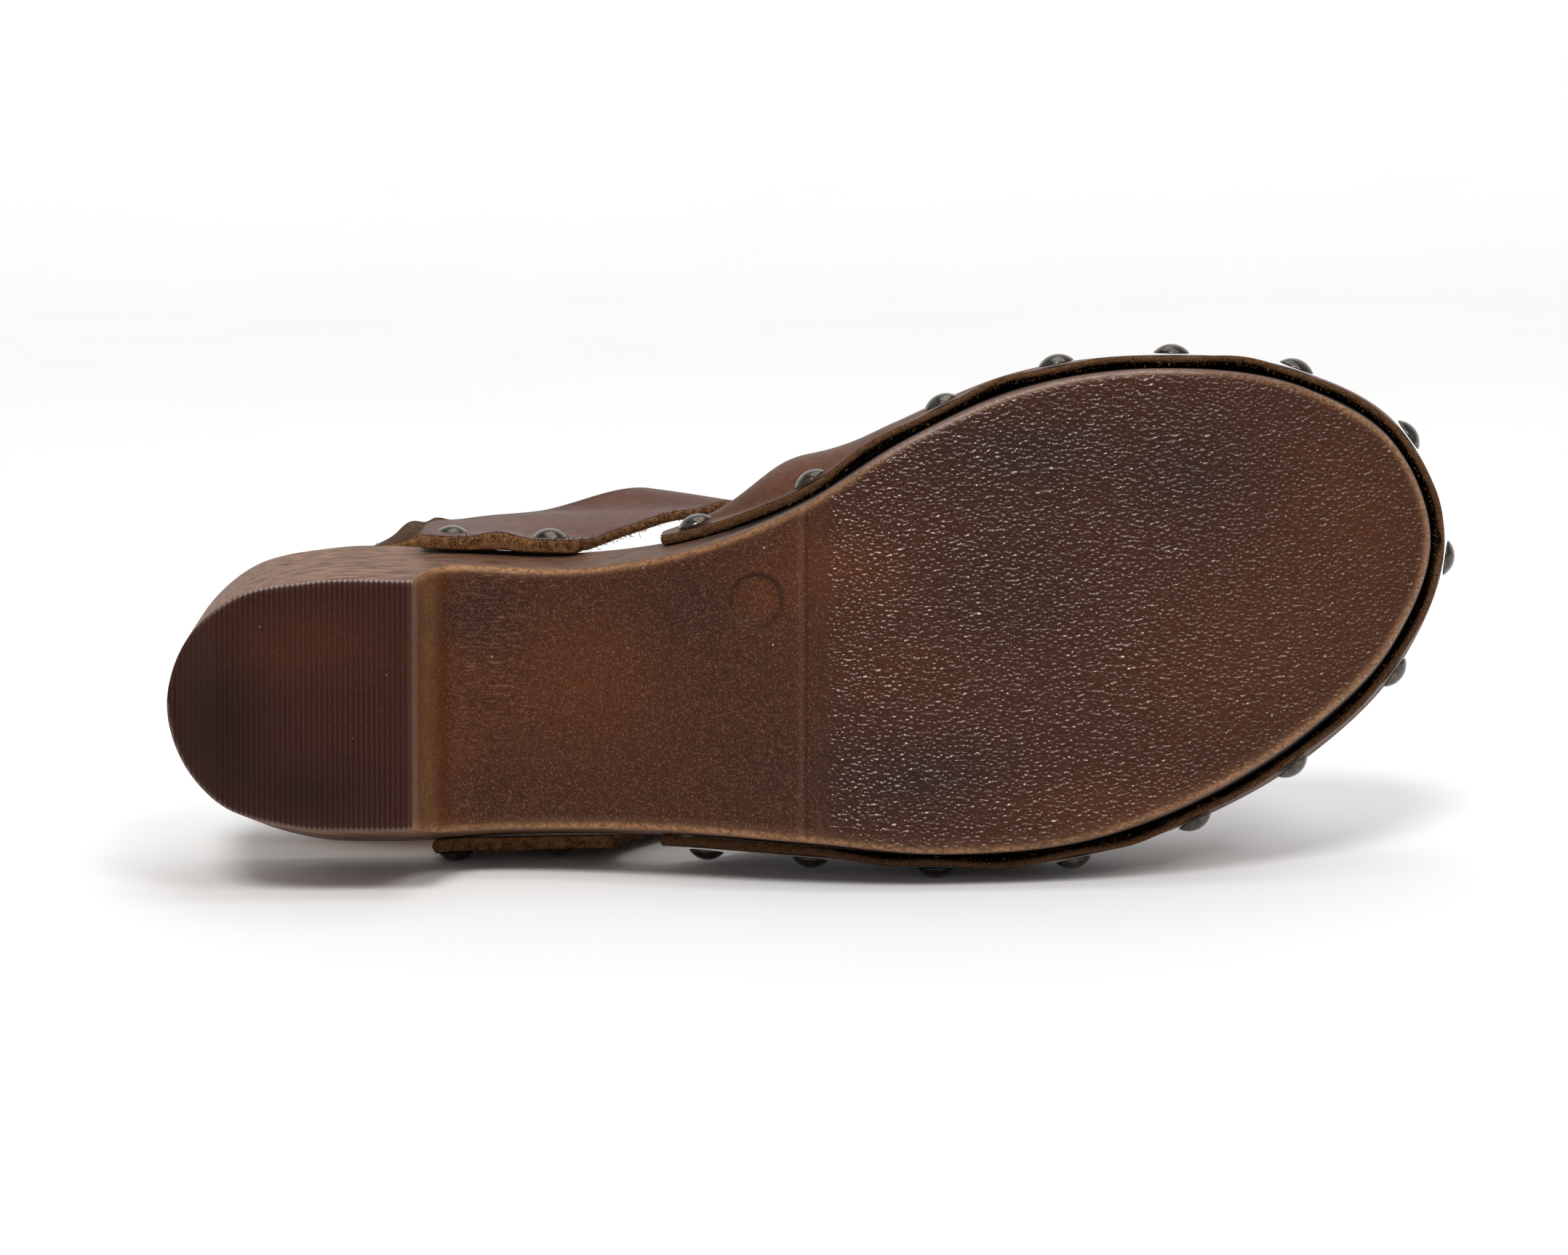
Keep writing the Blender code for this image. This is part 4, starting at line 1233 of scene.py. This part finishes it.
class Paint:
    """A Principled material under construction, with the shoe-frame position and the masks of a piece."""

    def __init__(self, name):
        self.material = bpy.data.materials.new(name)
        self.material.use_nodes = True
        self.tree = self.material.node_tree
        self.shader = self.tree.nodes["Principled BSDF"]
        self.at = self.attribute("shoe", "Vector")

    def attribute(self, name, output="Fac"):
        """One of the piece's own attributes."""
        return Shade(self.tree).node("ShaderNodeAttribute", {"attribute_name": name}, {}, output)

    def over(self, factor, **sockets):
        """A second Principled shader that lies over the first by a factor."""
        first = Shade(self.tree, self.shader.outputs[0])
        named = {name.replace("_", " "): value for name, value in sockets.items()}
        second = first.node("ShaderNodeBsdfPrincipled", {}, named)
        both = first.node("ShaderNodeMixShader", {}, {0: factor, 1: first, 2: second})
        self.tree.links.new(both.socket, self.tree.nodes["Material Output"].inputs["Surface"])

    def set(self, **sockets):
        """Links or values for the shader's sockets, named with underscores for spaces."""
        for name, value in sockets.items():
            socket = self.shader.inputs[name.replace("_", " ")]
            if isinstance(value, Shade):
                self.tree.links.new(value.socket, socket)
            else:
                socket.default_value = value
        return self.material

    def finish(self, colour, gloss, height, depth, specular):
        """The material with its colour, roughness, bump of a depth in millimetres and mirror share."""
        normal = height.bumped(depth)
        return self.set(Base_Color=colour, Roughness=gloss, Normal=normal, Specular_IOR_Level=specular)


def linear(red, green, blue):
    """Linear colour from the 8-bit values that a screen shows."""
    part = np.array([red, green, blue]) / 255
    return tuple(np.where(part <= 0.04045, part / 12.92, ((part + 0.055) / 1.055) ** 2.4).tolist())


def pebbles(at):
    """Height of the forefoot's texture: rounded cells and cloudy noise, both longer along the shoe."""
    long = at.stretched(0.7, 1.15, 1.0)
    return long.cells(0.62) * 0.8 + long.noise(0.9, 3.0, 0.5, 0.6) * 0.55


def sole_paint(look):
    """Wood-look paint: stained brown, rubbed to tan on the edges, ribbed heel, pebbled glossy forefoot."""
    paint = Paint("wood_look_sole")
    at = paint.at
    names = "wear lip heel fore wall dark amber plum bed groove ring scratch"
    masks = {name: paint.attribute(name) for name in names.split()}
    cloud = at.noise(9.0, 4.0)
    fine = at.noise(0.9, 4.0, 0.65)
    streak = at.stretched(0.12, 1.0, 1.0).noise(0.7, 3.0)
    colour = (masks["heel"] * 0.9).mix(look.brown, look.oxblood)
    colour = (masks["amber"] * (0.35 + cloud)).mix(colour, look.amber)
    colour = (masks["plum"] * (0.3 + cloud)).mix(colour, look.plum)
    # painted highlight: the crests of the heel's ribs are lighter and greyer than their grooves
    colour = (masks["heel"] * (1 - masks["groove"]) * (0.55 - 0.45 * masks["plum"])).mix(colour, look.ridge)
    colour = (masks["heel"] * masks["plum"] * 0.6).mix(colour, look.dark)
    # painted shade in the recess's edge and the texture's line
    colour = (masks["ring"] * 0.4).mix(colour, look.dark)
    # painted glints: light flecks on the waist that stand in for the sparkle of its fine grain
    painted_sparkle = at.noise(0.42, 2.0, 0.7).step(0.48, 0.72) * (1 - masks["heel"]) * (1 - masks["fore"])
    colour = (painted_sparkle * 0.45).mix(colour, look.wall)
    # scratches on the waist's inner half: real dark and light lines, the light ones also a painted glint
    line = at.stretched(0.14, 1.3, 1.0).noise(0.5, 3.0, 0.65)
    colour = (line.step(0.54, 0.7) * masks["scratch"] * 0.4).mix(colour, look.tan)
    colour = (line.step(0.46, 0.34) * masks["scratch"] * 0.7).mix(colour, look.dark)
    colour = (fine.step(0.35, 0.75) * 0.5).mix(colour, look.dark)
    # the heel's side is paler than the waist's: partly lighter grain, partly a painted sheen towards the
    # heel
    x = at.node("ShaderNodeSeparateXYZ", {}, {0: at}, "X")
    light = streak.step(0.4, 0.58) * (0.4 + 0.6 * x.step(66.0, 44.0))
    wall = masks["wall"].mix(colour, light.mix(look.wall_dark, look.wall))
    rub = masks["wear"] * (0.35 + fine.step(0.3, 0.7)) * (0.5 + cloud)
    colour = rub.mix(wall, look.tan)
    # painted highlight on the edge round the heel and the forefoot's inner edge, broken where the heel's
    # grooves reach the edge
    colour = (masks["lip"] * (1 - masks["groove"]) * (0.4 + 0.9 * fine)).mix(colour, look.lip)
    speck = at.cells(2.6, "F1").step(0.09, 0.03) * at.noise(4.0, 1.0).step(0.62, 0.7) * (1 - masks["wall"])
    colour = speck.mix(colour, look.speck)
    # painted shade on the sole's wall under the leather's margin
    colour = masks["dark"].mix(colour, look.shadow)
    colour = masks["bed"].mix(colour, look.bed)

    pebble = pebbles(at)
    # the slopes that face the inner side are polished
    polish = (pebble - pebbles(at.moved(0.0, -0.19, 0.0))).step(0.0, 0.14)
    grain = at.stretched(0.5, 1.0, 1.0).noise(0.42, 2.0, 0.6)
    scratch = at.stretched(0.10, 1.6, 1.0).noise(0.55, 2.0) * 0.5
    smooth_part = grain * 0.09 + scratch * 0.1
    height = masks["fore"] * pebble + (1 - masks["fore"]) * smooth_part * (1 - 0.6 * masks["wall"])
    gloss = 0.42 + 0.12 * (fine - 0.5) + 0.3 * masks["dark"] + 0.12 * masks["wall"]
    normal = height.bumped(look.pebble_depth / MM)
    paint.over(
        masks["fore"] * polish,
        Base_Color=colour,
        Roughness=0.1 + 0.16 * fine,
        Normal=normal,
        Specular_IOR_Level=0.65,
        Specular_Tint=(1.0, 0.86, 0.76, 1.0),
    )
    return paint.set(Base_Color=colour, Roughness=gloss, Normal=normal, Specular_IOR_Level=0.12)


def grain_paint(look):
    """Oiled brown leather: fine grain, soft mottling, dark burnished edges, tan cut rim and flesh side."""
    paint = Paint("oiled_leather")
    at = paint.at
    cut, flesh, edge, pale = (paint.attribute(name) for name in ("cut", "flesh", "edge", "pale"))
    cloud = at.noise(14.0, 4.0)
    fine = at.noise(1.6, 4.0, 0.6)
    fibre = at.stretched(1.0, 1.0, 0.4).noise(0.35, 3.0, 0.7)
    colour = cloud.step(0.32, 0.72).mix(look.brown, look.russet)
    colour = (fine.step(0.4, 0.8) * 0.35).mix(colour, look.dark)
    colour = ((edge - 0.35) * 0.9).mix(colour, look.dark)
    rough = (fibre.step(0.3, 0.75) * (0.35 + 0.65 * pale) + 0.25 * pale).mix(look.cut_dark, look.cut)
    colour = flesh.step(0.6, 0.95).mix(colour, fibre.step(0.25, 0.8).mix(look.suede_dark, look.suede))
    colour = cut.step(0.15, 0.6).mix(colour, rough)
    pores = at.cells(0.62) * 0.5 + at.noise(0.9, 2.0) * 0.35 + at.noise(5.0, 3.0) * 0.9
    bare = (cut + flesh).step(0.2, 0.6)
    height = (1 - bare) * pores * 0.45 + bare * fibre * 1.6
    gloss = 0.48 + 0.2 * (fine - 0.5) + 0.4 * bare
    return paint.finish(colour, gloss, height, look.grain_depth / MM, 0.15)


def suede_paint(look):
    """Rough leather: a napped tan-brown face with darker rubbed patches and a frayed rim."""
    paint = Paint("rough_leather")
    at = paint.at
    cut = paint.attribute("cut")
    nap = at.stretched(1.0, 1.0, 0.5).noise(0.5, 4.0, 0.7)
    patch = at.noise(6.0, 3.0)
    colour = nap.step(0.3, 0.75).mix(look.suede_dark, look.suede)
    colour = (patch.step(0.5, 0.75) * 0.6).mix(colour, look.dark)
    colour = (cut * 0.7).mix(colour, look.cut)
    height = nap * 1.6 + patch * 1.2
    gloss = 0.85 + 0.2 * (nap - 0.5)
    return paint.finish(colour, gloss, height, look.grain_depth / MM, 0.15)


def fibre_paint(look):
    """Loose fibres: tan to dark brown, each strand of one tone."""
    paint = Paint("loose_fibres")
    strand = paint.attribute("tone")
    return paint.set(Base_Color=strand.mix(look.cut_dark, look.cut), Roughness=0.9, Specular_IOR_Level=0.1)


def sock_paint(look):
    """Pale sock leather: fine pores and warm, darker mottling."""
    paint = Paint("sock_leather")
    at = paint.at
    cloud = at.noise(18.0, 4.0)
    fine = at.noise(1.2, 4.0, 0.6)
    colour = (cloud.step(0.3, 0.7) * 0.35).mix(look.sock, look.sock_dark)
    colour = (fine.step(0.45, 0.8) * 0.3).mix(colour, look.sock_dark)
    height = at.cells(0.7) * 0.6 + fine * 0.5
    gloss = 0.62 + 0.2 * (fine - 0.5)
    return paint.finish(colour, gloss, height, look.grain_depth / MM * 0.6, 0.2)


def nickel_paint(look):
    """Antique nickel: dark grey metal with a cloudy patina and fine scuffs."""
    paint = Paint("antique_nickel")
    at = paint.at
    patina = at.noise(1.8, 4.0, 0.6)
    scuff = at.stretched(1.0, 1.0, 0.25).noise(0.4, 3.0, 0.7)
    colour = patina.step(0.3, 0.75).mix(look.metal, look.patina)
    gloss = 0.14 + 0.2 * patina * scuff
    return paint.set(Base_Color=colour, Roughness=gloss, Metallic=1.0, Normal=scuff.bumped(0.02))


def floor_paint(look):
    """Plain pale floor with a faint unevenness."""
    paint = Paint("pale_floor")
    cloud = paint.at.noise(220.0, 2.0)
    colour = cloud.mix(look.floor, look.floor_shade)
    return paint.set(Base_Color=colour, Roughness=0.8)


def number_setting(name, description, default, **kind):
    """A number that the sidebar shows; kind holds its unit or subtype."""
    return bpy.props.FloatProperty(name=name, description=description, default=default, **kind)


def angle_setting(name, description, degrees):
    """An angle, given in degrees."""
    return number_setting(name, description, math.radians(degrees), subtype="ANGLE")


def length_setting(name, description, default):
    """A size, given in millimetres and kept in metres."""
    return number_setting(name, description, default * MM, unit="LENGTH", precision=5)


def colour_setting(name, description, *default):
    """A colour, given as a screen shows it."""
    limits = {"subtype": "COLOR", "size": 3, "min": 0.0, "max": 1.0}
    return bpy.props.FloatVectorProperty(
        name=name, description=description, default=linear(*default), **limits
    )


def group_setting(name, description, kind):
    """A group of settings."""
    return bpy.props.PointerProperty(name=name, description=description, type=kind)


class ClogSoleLook(bpy.types.PropertyGroup):
    """Sizes and colours of the sole."""

    rib_pitch: length_setting("Rib pitch", "From one cross rib of the heel to the next", 1.02)
    rib_depth: length_setting("Rib depth", "Depth of the heel's grooves", 0.36)
    heel_round: length_setting("Heel edge", "Radius of the heel's lower edge", 0.7)
    edge_round: length_setting("Front edge", "Radius of the lower edge in front of the heel", 1.6)
    recess_radius: length_setting("Recess radius", "Radius of the round recess in the waist", 5.1)
    recess_depth: length_setting("Recess depth", "Depth of the round recess in the waist", 0.9)
    pebble_depth: length_setting("Pebble depth", "Height of the forefoot's pebbles", 0.38)
    brown: colour_setting("Brown", "Main stain", 61, 32, 20)
    amber: colour_setting("Amber", "Warm patches", 84, 43, 20)
    plum: colour_setting("Plum", "Cool dark patches", 40, 25, 22)
    oxblood: colour_setting("Oxblood", "Heel tread", 51, 21, 15)
    # painted highlight on the crests of the heel's ribs
    ridge: colour_setting("Ridges", "Rubbed ridges of the heel", 68, 42, 35)
    # also the colour of the painted shade in the recess's edge and the texture's line
    dark: colour_setting("Dark", "Dark flecks", 30, 17, 12)
    wall: colour_setting("Wall", "Side of the sole", 140, 104, 82)
    wall_dark: colour_setting("Dark wall", "Dark streaks on the side of the sole", 74, 49, 36)
    tan: colour_setting("Tan", "Rubbed edges", 158, 115, 80)
    # painted highlight along the edge round the heel and the forefoot's inner edge
    lip: colour_setting("Lip", "Thin edge round the heel", 160, 142, 134)
    speck: colour_setting("Specks", "Stray light specks", 205, 190, 175)
    # painted shade on the sole's wall under the leather
    shadow: colour_setting("Shadow", "Dark shading under the leather", 12, 8, 6)
    bed: colour_setting("Foot-bed", "Bare foot-bed under the sock", 140, 100, 66)


class ClogLeatherLook(bpy.types.PropertyGroup):
    """Sizes and colours of the leather."""

    thickness: length_setting("Thickness", "Thickness of the leather", 2.0)
    skive: length_setting("Skive", "How much thinner the vamp's lower edge is", 0.7)
    bow: length_setting("Margin bow", "How far the vamp's margin stands off between nails", 0.6)
    ear_bow: length_setting("Ear bow", "How far an ear stands off between its nails", 1.3)
    ear_swell: length_setting("Ear swell", "Extra thickness of the ears' frayed ends", 0.8)
    ear_corner: length_setting("Ear corner", "Radius of the ears' corners", 2.0)
    strap_corner: length_setting("Strap corner", "Radius of the back strap's corners", 2.0)
    fibre: length_setting("Fibre", "Thickness of a frayed fibre", 0.16)
    fray: length_setting("Fray", "Usual length of a frayed fibre", 0.8)
    grain_depth: length_setting("Grain depth", "Height of the leather's grain", 0.2)
    brown: colour_setting("Brown", "Main leather colour", 80, 48, 34)
    russet: colour_setting("Russet", "Warm mottling", 94, 56, 38)
    dark: colour_setting("Dark", "Burnished edges", 40, 25, 18)
    cut: colour_setting("Cut edge", "Light fibres of the cut edges", 150, 105, 67)
    cut_dark: colour_setting("Dark cut edge", "Dark fibres of the cut edges", 46, 28, 16)
    suede: colour_setting("Suede", "Light nap of the rough side", 104, 73, 46)
    suede_dark: colour_setting("Dark suede", "Dark nap of the rough side", 46, 30, 18)
    sock: colour_setting("Sock", "Sock leather", 176, 134, 96)
    sock_dark: colour_setting("Dark sock", "Darker sock leather", 146, 104, 70)


class ClogStudLook(bpy.types.PropertyGroup):
    """Sizes and colours of the nail heads."""

    radius: length_setting("Radius", "Radius of a nail head", 3.5)
    height: length_setting("Height", "Height of a nail head", 1.9)
    metal: colour_setting("Metal", "Antique nickel", 104, 97, 90)
    patina: colour_setting("Patina", "Darkened metal", 58, 53, 48)


class ClogStageLook(bpy.types.PropertyGroup):
    """Camera, light and floor."""

    lens: number_setting("Lens", "Focal length", 90.0, unit="CAMERA")
    distance: length_setting("Distance", "From the camera to the tread's plane", 762.0)
    target_x: length_setting("Aim along the shoe", "Where the view's middle meets the tread", 124.5)
    target_y: length_setting("Aim across the shoe", "Where the view's middle meets the tread", -15.2)
    dip: angle_setting("Dip", "Turn of the view towards the inner side", 2.0)
    key: number_setting("Key", "Strength of the main light", 2.4)
    key_width: angle_setting("Key width", "Width of the main light", 16.0)
    fill: number_setting("Fill", "Power of the overhead softbox", 3.4, unit="POWER")
    sky: number_setting("Sky", "Strength of the light all round", 0.4)
    floor: colour_setting("Floor", "Pale floor", 243, 242, 240)
    floor_shade: colour_setting("Floor shade", "Faint unevenness of the floor", 238, 237, 236)


def looks():
    """The scene's four groups of settings."""
    return bpy.context.scene.clog


class ClogLooks(bpy.types.PropertyGroup):
    """All settings of the clog."""

    sole: group_setting("Sole", "Looks of the sole", ClogSoleLook)
    leather: group_setting("Leather", "Looks of the leather", ClogLeatherLook)
    studs: group_setting("Studs", "Looks of the nail heads", ClogStudLook)
    stage: group_setting("Stage", "Camera, light and floor", ClogStageLook)


def stud_nodes():
    """Names of the nail heads' nodes, in order round the shoe."""
    return sorted(name for name in frame["nodes"] if name.startswith("stud_"))


def stud_seats():
    """Place and facing of every nail head, in order round the shoe."""
    return [stud_seat(frame["nodes"][name]) for name in stud_nodes()]


def paint_of(name, make, look):
    """A finish that several pieces share, made once."""
    return bpy.data.materials.get(name) or make(look)


def add_leather(name, sheet, material, slot, parts=(slice(None),), folded=False):
    """A leather sheet in place of its node, and loose fibres along the frayed parts of its rim.

    The fibres' seed is the one after the sheet's.
    """
    look = looks().leather
    seed, pale, density, share = RIMS[name]
    points, faces, masks, rim = leather_sheet(*sheet, seed, pale, folded)
    add_piece(f"{name}_leather", points, faces, masks, material, [name], slot)
    rims = [(tuple(line[part] for line in rim), density, share * look.fray / MM) for part in parts]
    fuzz = paint_of("loose_fibres", fibre_paint, look)
    add_piece(f"{name}_fray", *fibres(rims, look, seed + 1), fuzz, [], "rough_leather")


class CLOG_OT_sole(bpy.types.Operator):
    """Build the moulded sole with its ribbed heel, recess and worn edges"""

    bl_idname = "clog.sole"
    bl_label = "Sole"

    def execute(self, context):
        look = looks().sole
        rings, masks = sole_surface(look)
        faces = ring_faces(*rings.shape[:2])
        points, material = rings.reshape(-1, 3), sole_paint(look)
        add_piece("sole_body", points, faces, masks, material, ["sole"], "wood_look_sole")
        return {"FINISHED"}


class CLOG_OT_insole(bpy.types.Operator):
    """Build the leather sock on the foot-bed"""

    bl_idname = "clog.insole"
    bl_label = "Insole"

    def execute(self, context):
        rings = insole_surface(looks().sole)
        faces = ring_faces(*rings.shape[:2])
        material = sock_paint(looks().leather)
        add_piece("insole_sock", rings.reshape(-1, 3), faces, {}, material, ["insole"], "sock_leather")
        return {"FINISHED"}


class CLOG_OT_vamp(bpy.types.Operator):
    """Build the closed-toe vamp with its wavy nailed margin and frayed edges"""

    bl_idname = "clog.vamp"
    bl_label = "Vamp"

    def execute(self, context):
        look = looks().leather
        seats = [seat for seat, _ in stud_seats()[:-EAR_STUDS]]
        material = paint_of("oiled_leather", grain_paint, look)
        add_leather("vamp", vamp_face(look, seats), material, "grain_leather", folded=True)
        return {"FINISHED"}


class CLOG_OT_strap(bpy.types.Operator):
    """Build the ear strap over the instep with its bowed ears and frayed edges"""

    bl_idname = "clog.strap"
    bl_label = "Ear strap"

    def execute(self, context):
        look = looks().leather
        seats = [seat for seat, _ in stud_seats()[-EAR_STUDS:]]
        material = paint_of("oiled_leather", grain_paint, look)
        # the rear edge is cut clean
        frayed = slice(STRAP_STATIONS + STRAP_COLUMNS - 1), slice(2 - STRAP_COLUMNS, None)
        add_leather("strap", strap_face(look, seats), material, "grain_leather", frayed)
        return {"FINISHED"}


class CLOG_OT_back_strap(bpy.types.Operator):
    """Build the rough leather band round the heel"""

    bl_idname = "clog.back_strap"
    bl_label = "Back strap"

    def execute(self, context):
        look = looks().leather
        add_leather("back_strap", back_strap_face(look), suede_paint(look), "rough_leather")
        return {"FINISHED"}


class CLOG_OT_studs(bpy.types.Operator):
    """Build a dome for every nail head"""

    bl_idname = "clog.studs"
    bl_label = "Nail heads"

    def execute(self, context):
        look = looks().studs
        material = nickel_paint(look)
        for name, (seat, facing) in zip(stud_nodes(), stud_seats()):
            rings = stud_rings(seat, facing, look)
            faces = ring_faces(*rings.shape[:2])
            dome = name.replace("stud", "stud_dome")
            add_piece(dome, rings.reshape(-1, 3), faces, {}, material, [name], "antique_nickel")
        return {"FINISHED"}


def aim(obj, position, target):
    """Put an object somewhere, its -Z axis pointing at a target."""
    way = Vector(target) - Vector(position)
    obj.matrix_world = Matrix.Translation(position) @ way.to_track_quat("-Z", "Y").to_matrix().to_4x4()
    bpy.context.scene.collection.objects.link(obj)


def add_camera(look):
    """Camera at the photograph's angle: it looks at the tread, dipped a little from the inner side."""
    camera = bpy.data.cameras.new("camera")
    camera.lens = look.lens
    camera.sensor_width = 36.0
    camera.sensor_fit = "HORIZONTAL"
    right = np.array([1.0, 0.0, 0.0])
    forward = np.array([0.0, math.sin(look.dip), math.cos(look.dip)])
    up = np.cross(forward, right) * -1.0
    position = np.array([look.target_x, look.target_y, 0.0]) / MM - look.distance / MM * forward
    eye = bpy.data.objects.new("camera", camera)
    turn = AXES @ np.column_stack([right, up, -forward])
    eye.matrix_world = Matrix.Translation(placed(position)) @ Matrix(turn.tolist()).to_4x4()
    bpy.context.scene.collection.objects.link(eye)
    bpy.context.scene.camera = eye


def add_floor(look):
    """Floor that curves up into a backdrop: a flat stretch, a quarter circle and a wall, carried along X."""
    turn = np.linspace(0.0, math.pi / 2, 24)
    front, back, bend, top, half = -4.0, 2.0, 3.0, 6.0, 8.0
    depth = np.concatenate([[front], back + bend * np.sin(turn), [back + bend]])
    height = np.concatenate([[0.0], bend * (1 - np.cos(turn)), [top]])
    across = np.linspace(-half, half, 12)
    grid = np.stack(np.broadcast_arrays(across[:, None], depth[None], height[None]), axis=-1)
    mesh = bpy.data.meshes.new("floor")
    mesh.from_pydata(grid.reshape(-1, 3), [], grid_faces(*grid.shape[:2]).tolist())
    shoe = mesh.attributes.new("shoe", "FLOAT_VECTOR", "POINT")
    shoe.data.foreach_set("vector", (grid / MM).astype(np.float32).ravel())
    mesh.shade_smooth()
    mesh.materials.append(floor_paint(look))
    floor = bpy.data.objects.new("floor", mesh)
    bpy.context.scene.collection.objects.link(floor)


def add_lights(look):
    """Two wide main lights from above the camera, an overhead softbox and a soft even sky."""
    for name, share, side in KEYS:
        key = bpy.data.lights.new(name, "SUN")
        key.energy = share * look.key
        key.angle = look.key_width
        aim(bpy.data.objects.new(name, key), (side, KEY_BACK, KEY_HEIGHT), LIGHT_TARGET)
    fill = bpy.data.lights.new("fill", "AREA")
    fill.shape = "RECTANGLE"
    fill.size, fill.size_y = FILL_SIZE
    fill.energy = look.fill
    aim(bpy.data.objects.new("fill", fill), FILL_PLACE, LIGHT_TARGET)
    world = bpy.data.worlds.new("sky")
    world.use_nodes = True
    background = world.node_tree.nodes["Background"].inputs
    background["Strength"].default_value = look.sky
    background["Color"].default_value = SKY_COLOUR
    bpy.context.scene.world = world


class CLOG_OT_stage(bpy.types.Operator):
    """Build the floor, the lights and the camera"""

    bl_idname = "clog.stage"
    bl_label = "Stage"

    def execute(self, context):
        look = looks().stage
        add_floor(look)
        add_lights(look)
        add_camera(look)
        context.scene.view_settings.view_transform = "Standard"
        return {"FINISHED"}


OPERATORS = (
    CLOG_OT_sole,
    CLOG_OT_insole,
    CLOG_OT_vamp,
    CLOG_OT_strap,
    CLOG_OT_back_strap,
    CLOG_OT_studs,
    CLOG_OT_stage,
)


class CLOG_PT_panel(bpy.types.Panel):
    """Sidebar panel with every step and its settings."""

    bl_label = "Clog sandal"
    bl_idname = "CLOG_PT_panel"
    bl_space_type = "VIEW_3D"
    bl_region_type = "UI"
    bl_category = "Clog"

    def draw(self, context):
        for operator in OPERATORS:
            self.layout.operator(operator.bl_idname)
        for part in ClogLooks.__annotations__:
            group = getattr(context.scene.clog, part)
            box = self.layout.box()
            for name in group.__annotations__:
                box.prop(group, name)


CLASSES = (ClogSoleLook, ClogLeatherLook, ClogStudLook, ClogStageLook, ClogLooks, *OPERATORS, CLOG_PT_panel)


def register():
    """Add the classes and the scene's settings."""
    for item in CLASSES:
        bpy.utils.register_class(item)
    bpy.types.Scene.clog = group_setting("Clog", "Looks of the clog", ClogLooks)


def unregister():
    """Take the settings and the classes away again."""
    del bpy.types.Scene.clog
    for item in reversed(CLASSES):
        bpy.utils.unregister_class(item)


def main():
    """Register the classes and run every step in order."""
    register()
    for step in (
        bpy.ops.clog.stage,
        bpy.ops.clog.sole,
        bpy.ops.clog.insole,
        bpy.ops.clog.vamp,
        bpy.ops.clog.strap,
        bpy.ops.clog.back_strap,
        bpy.ops.clog.studs,
    ):
        step()


if __name__ == "__main__":
    main()
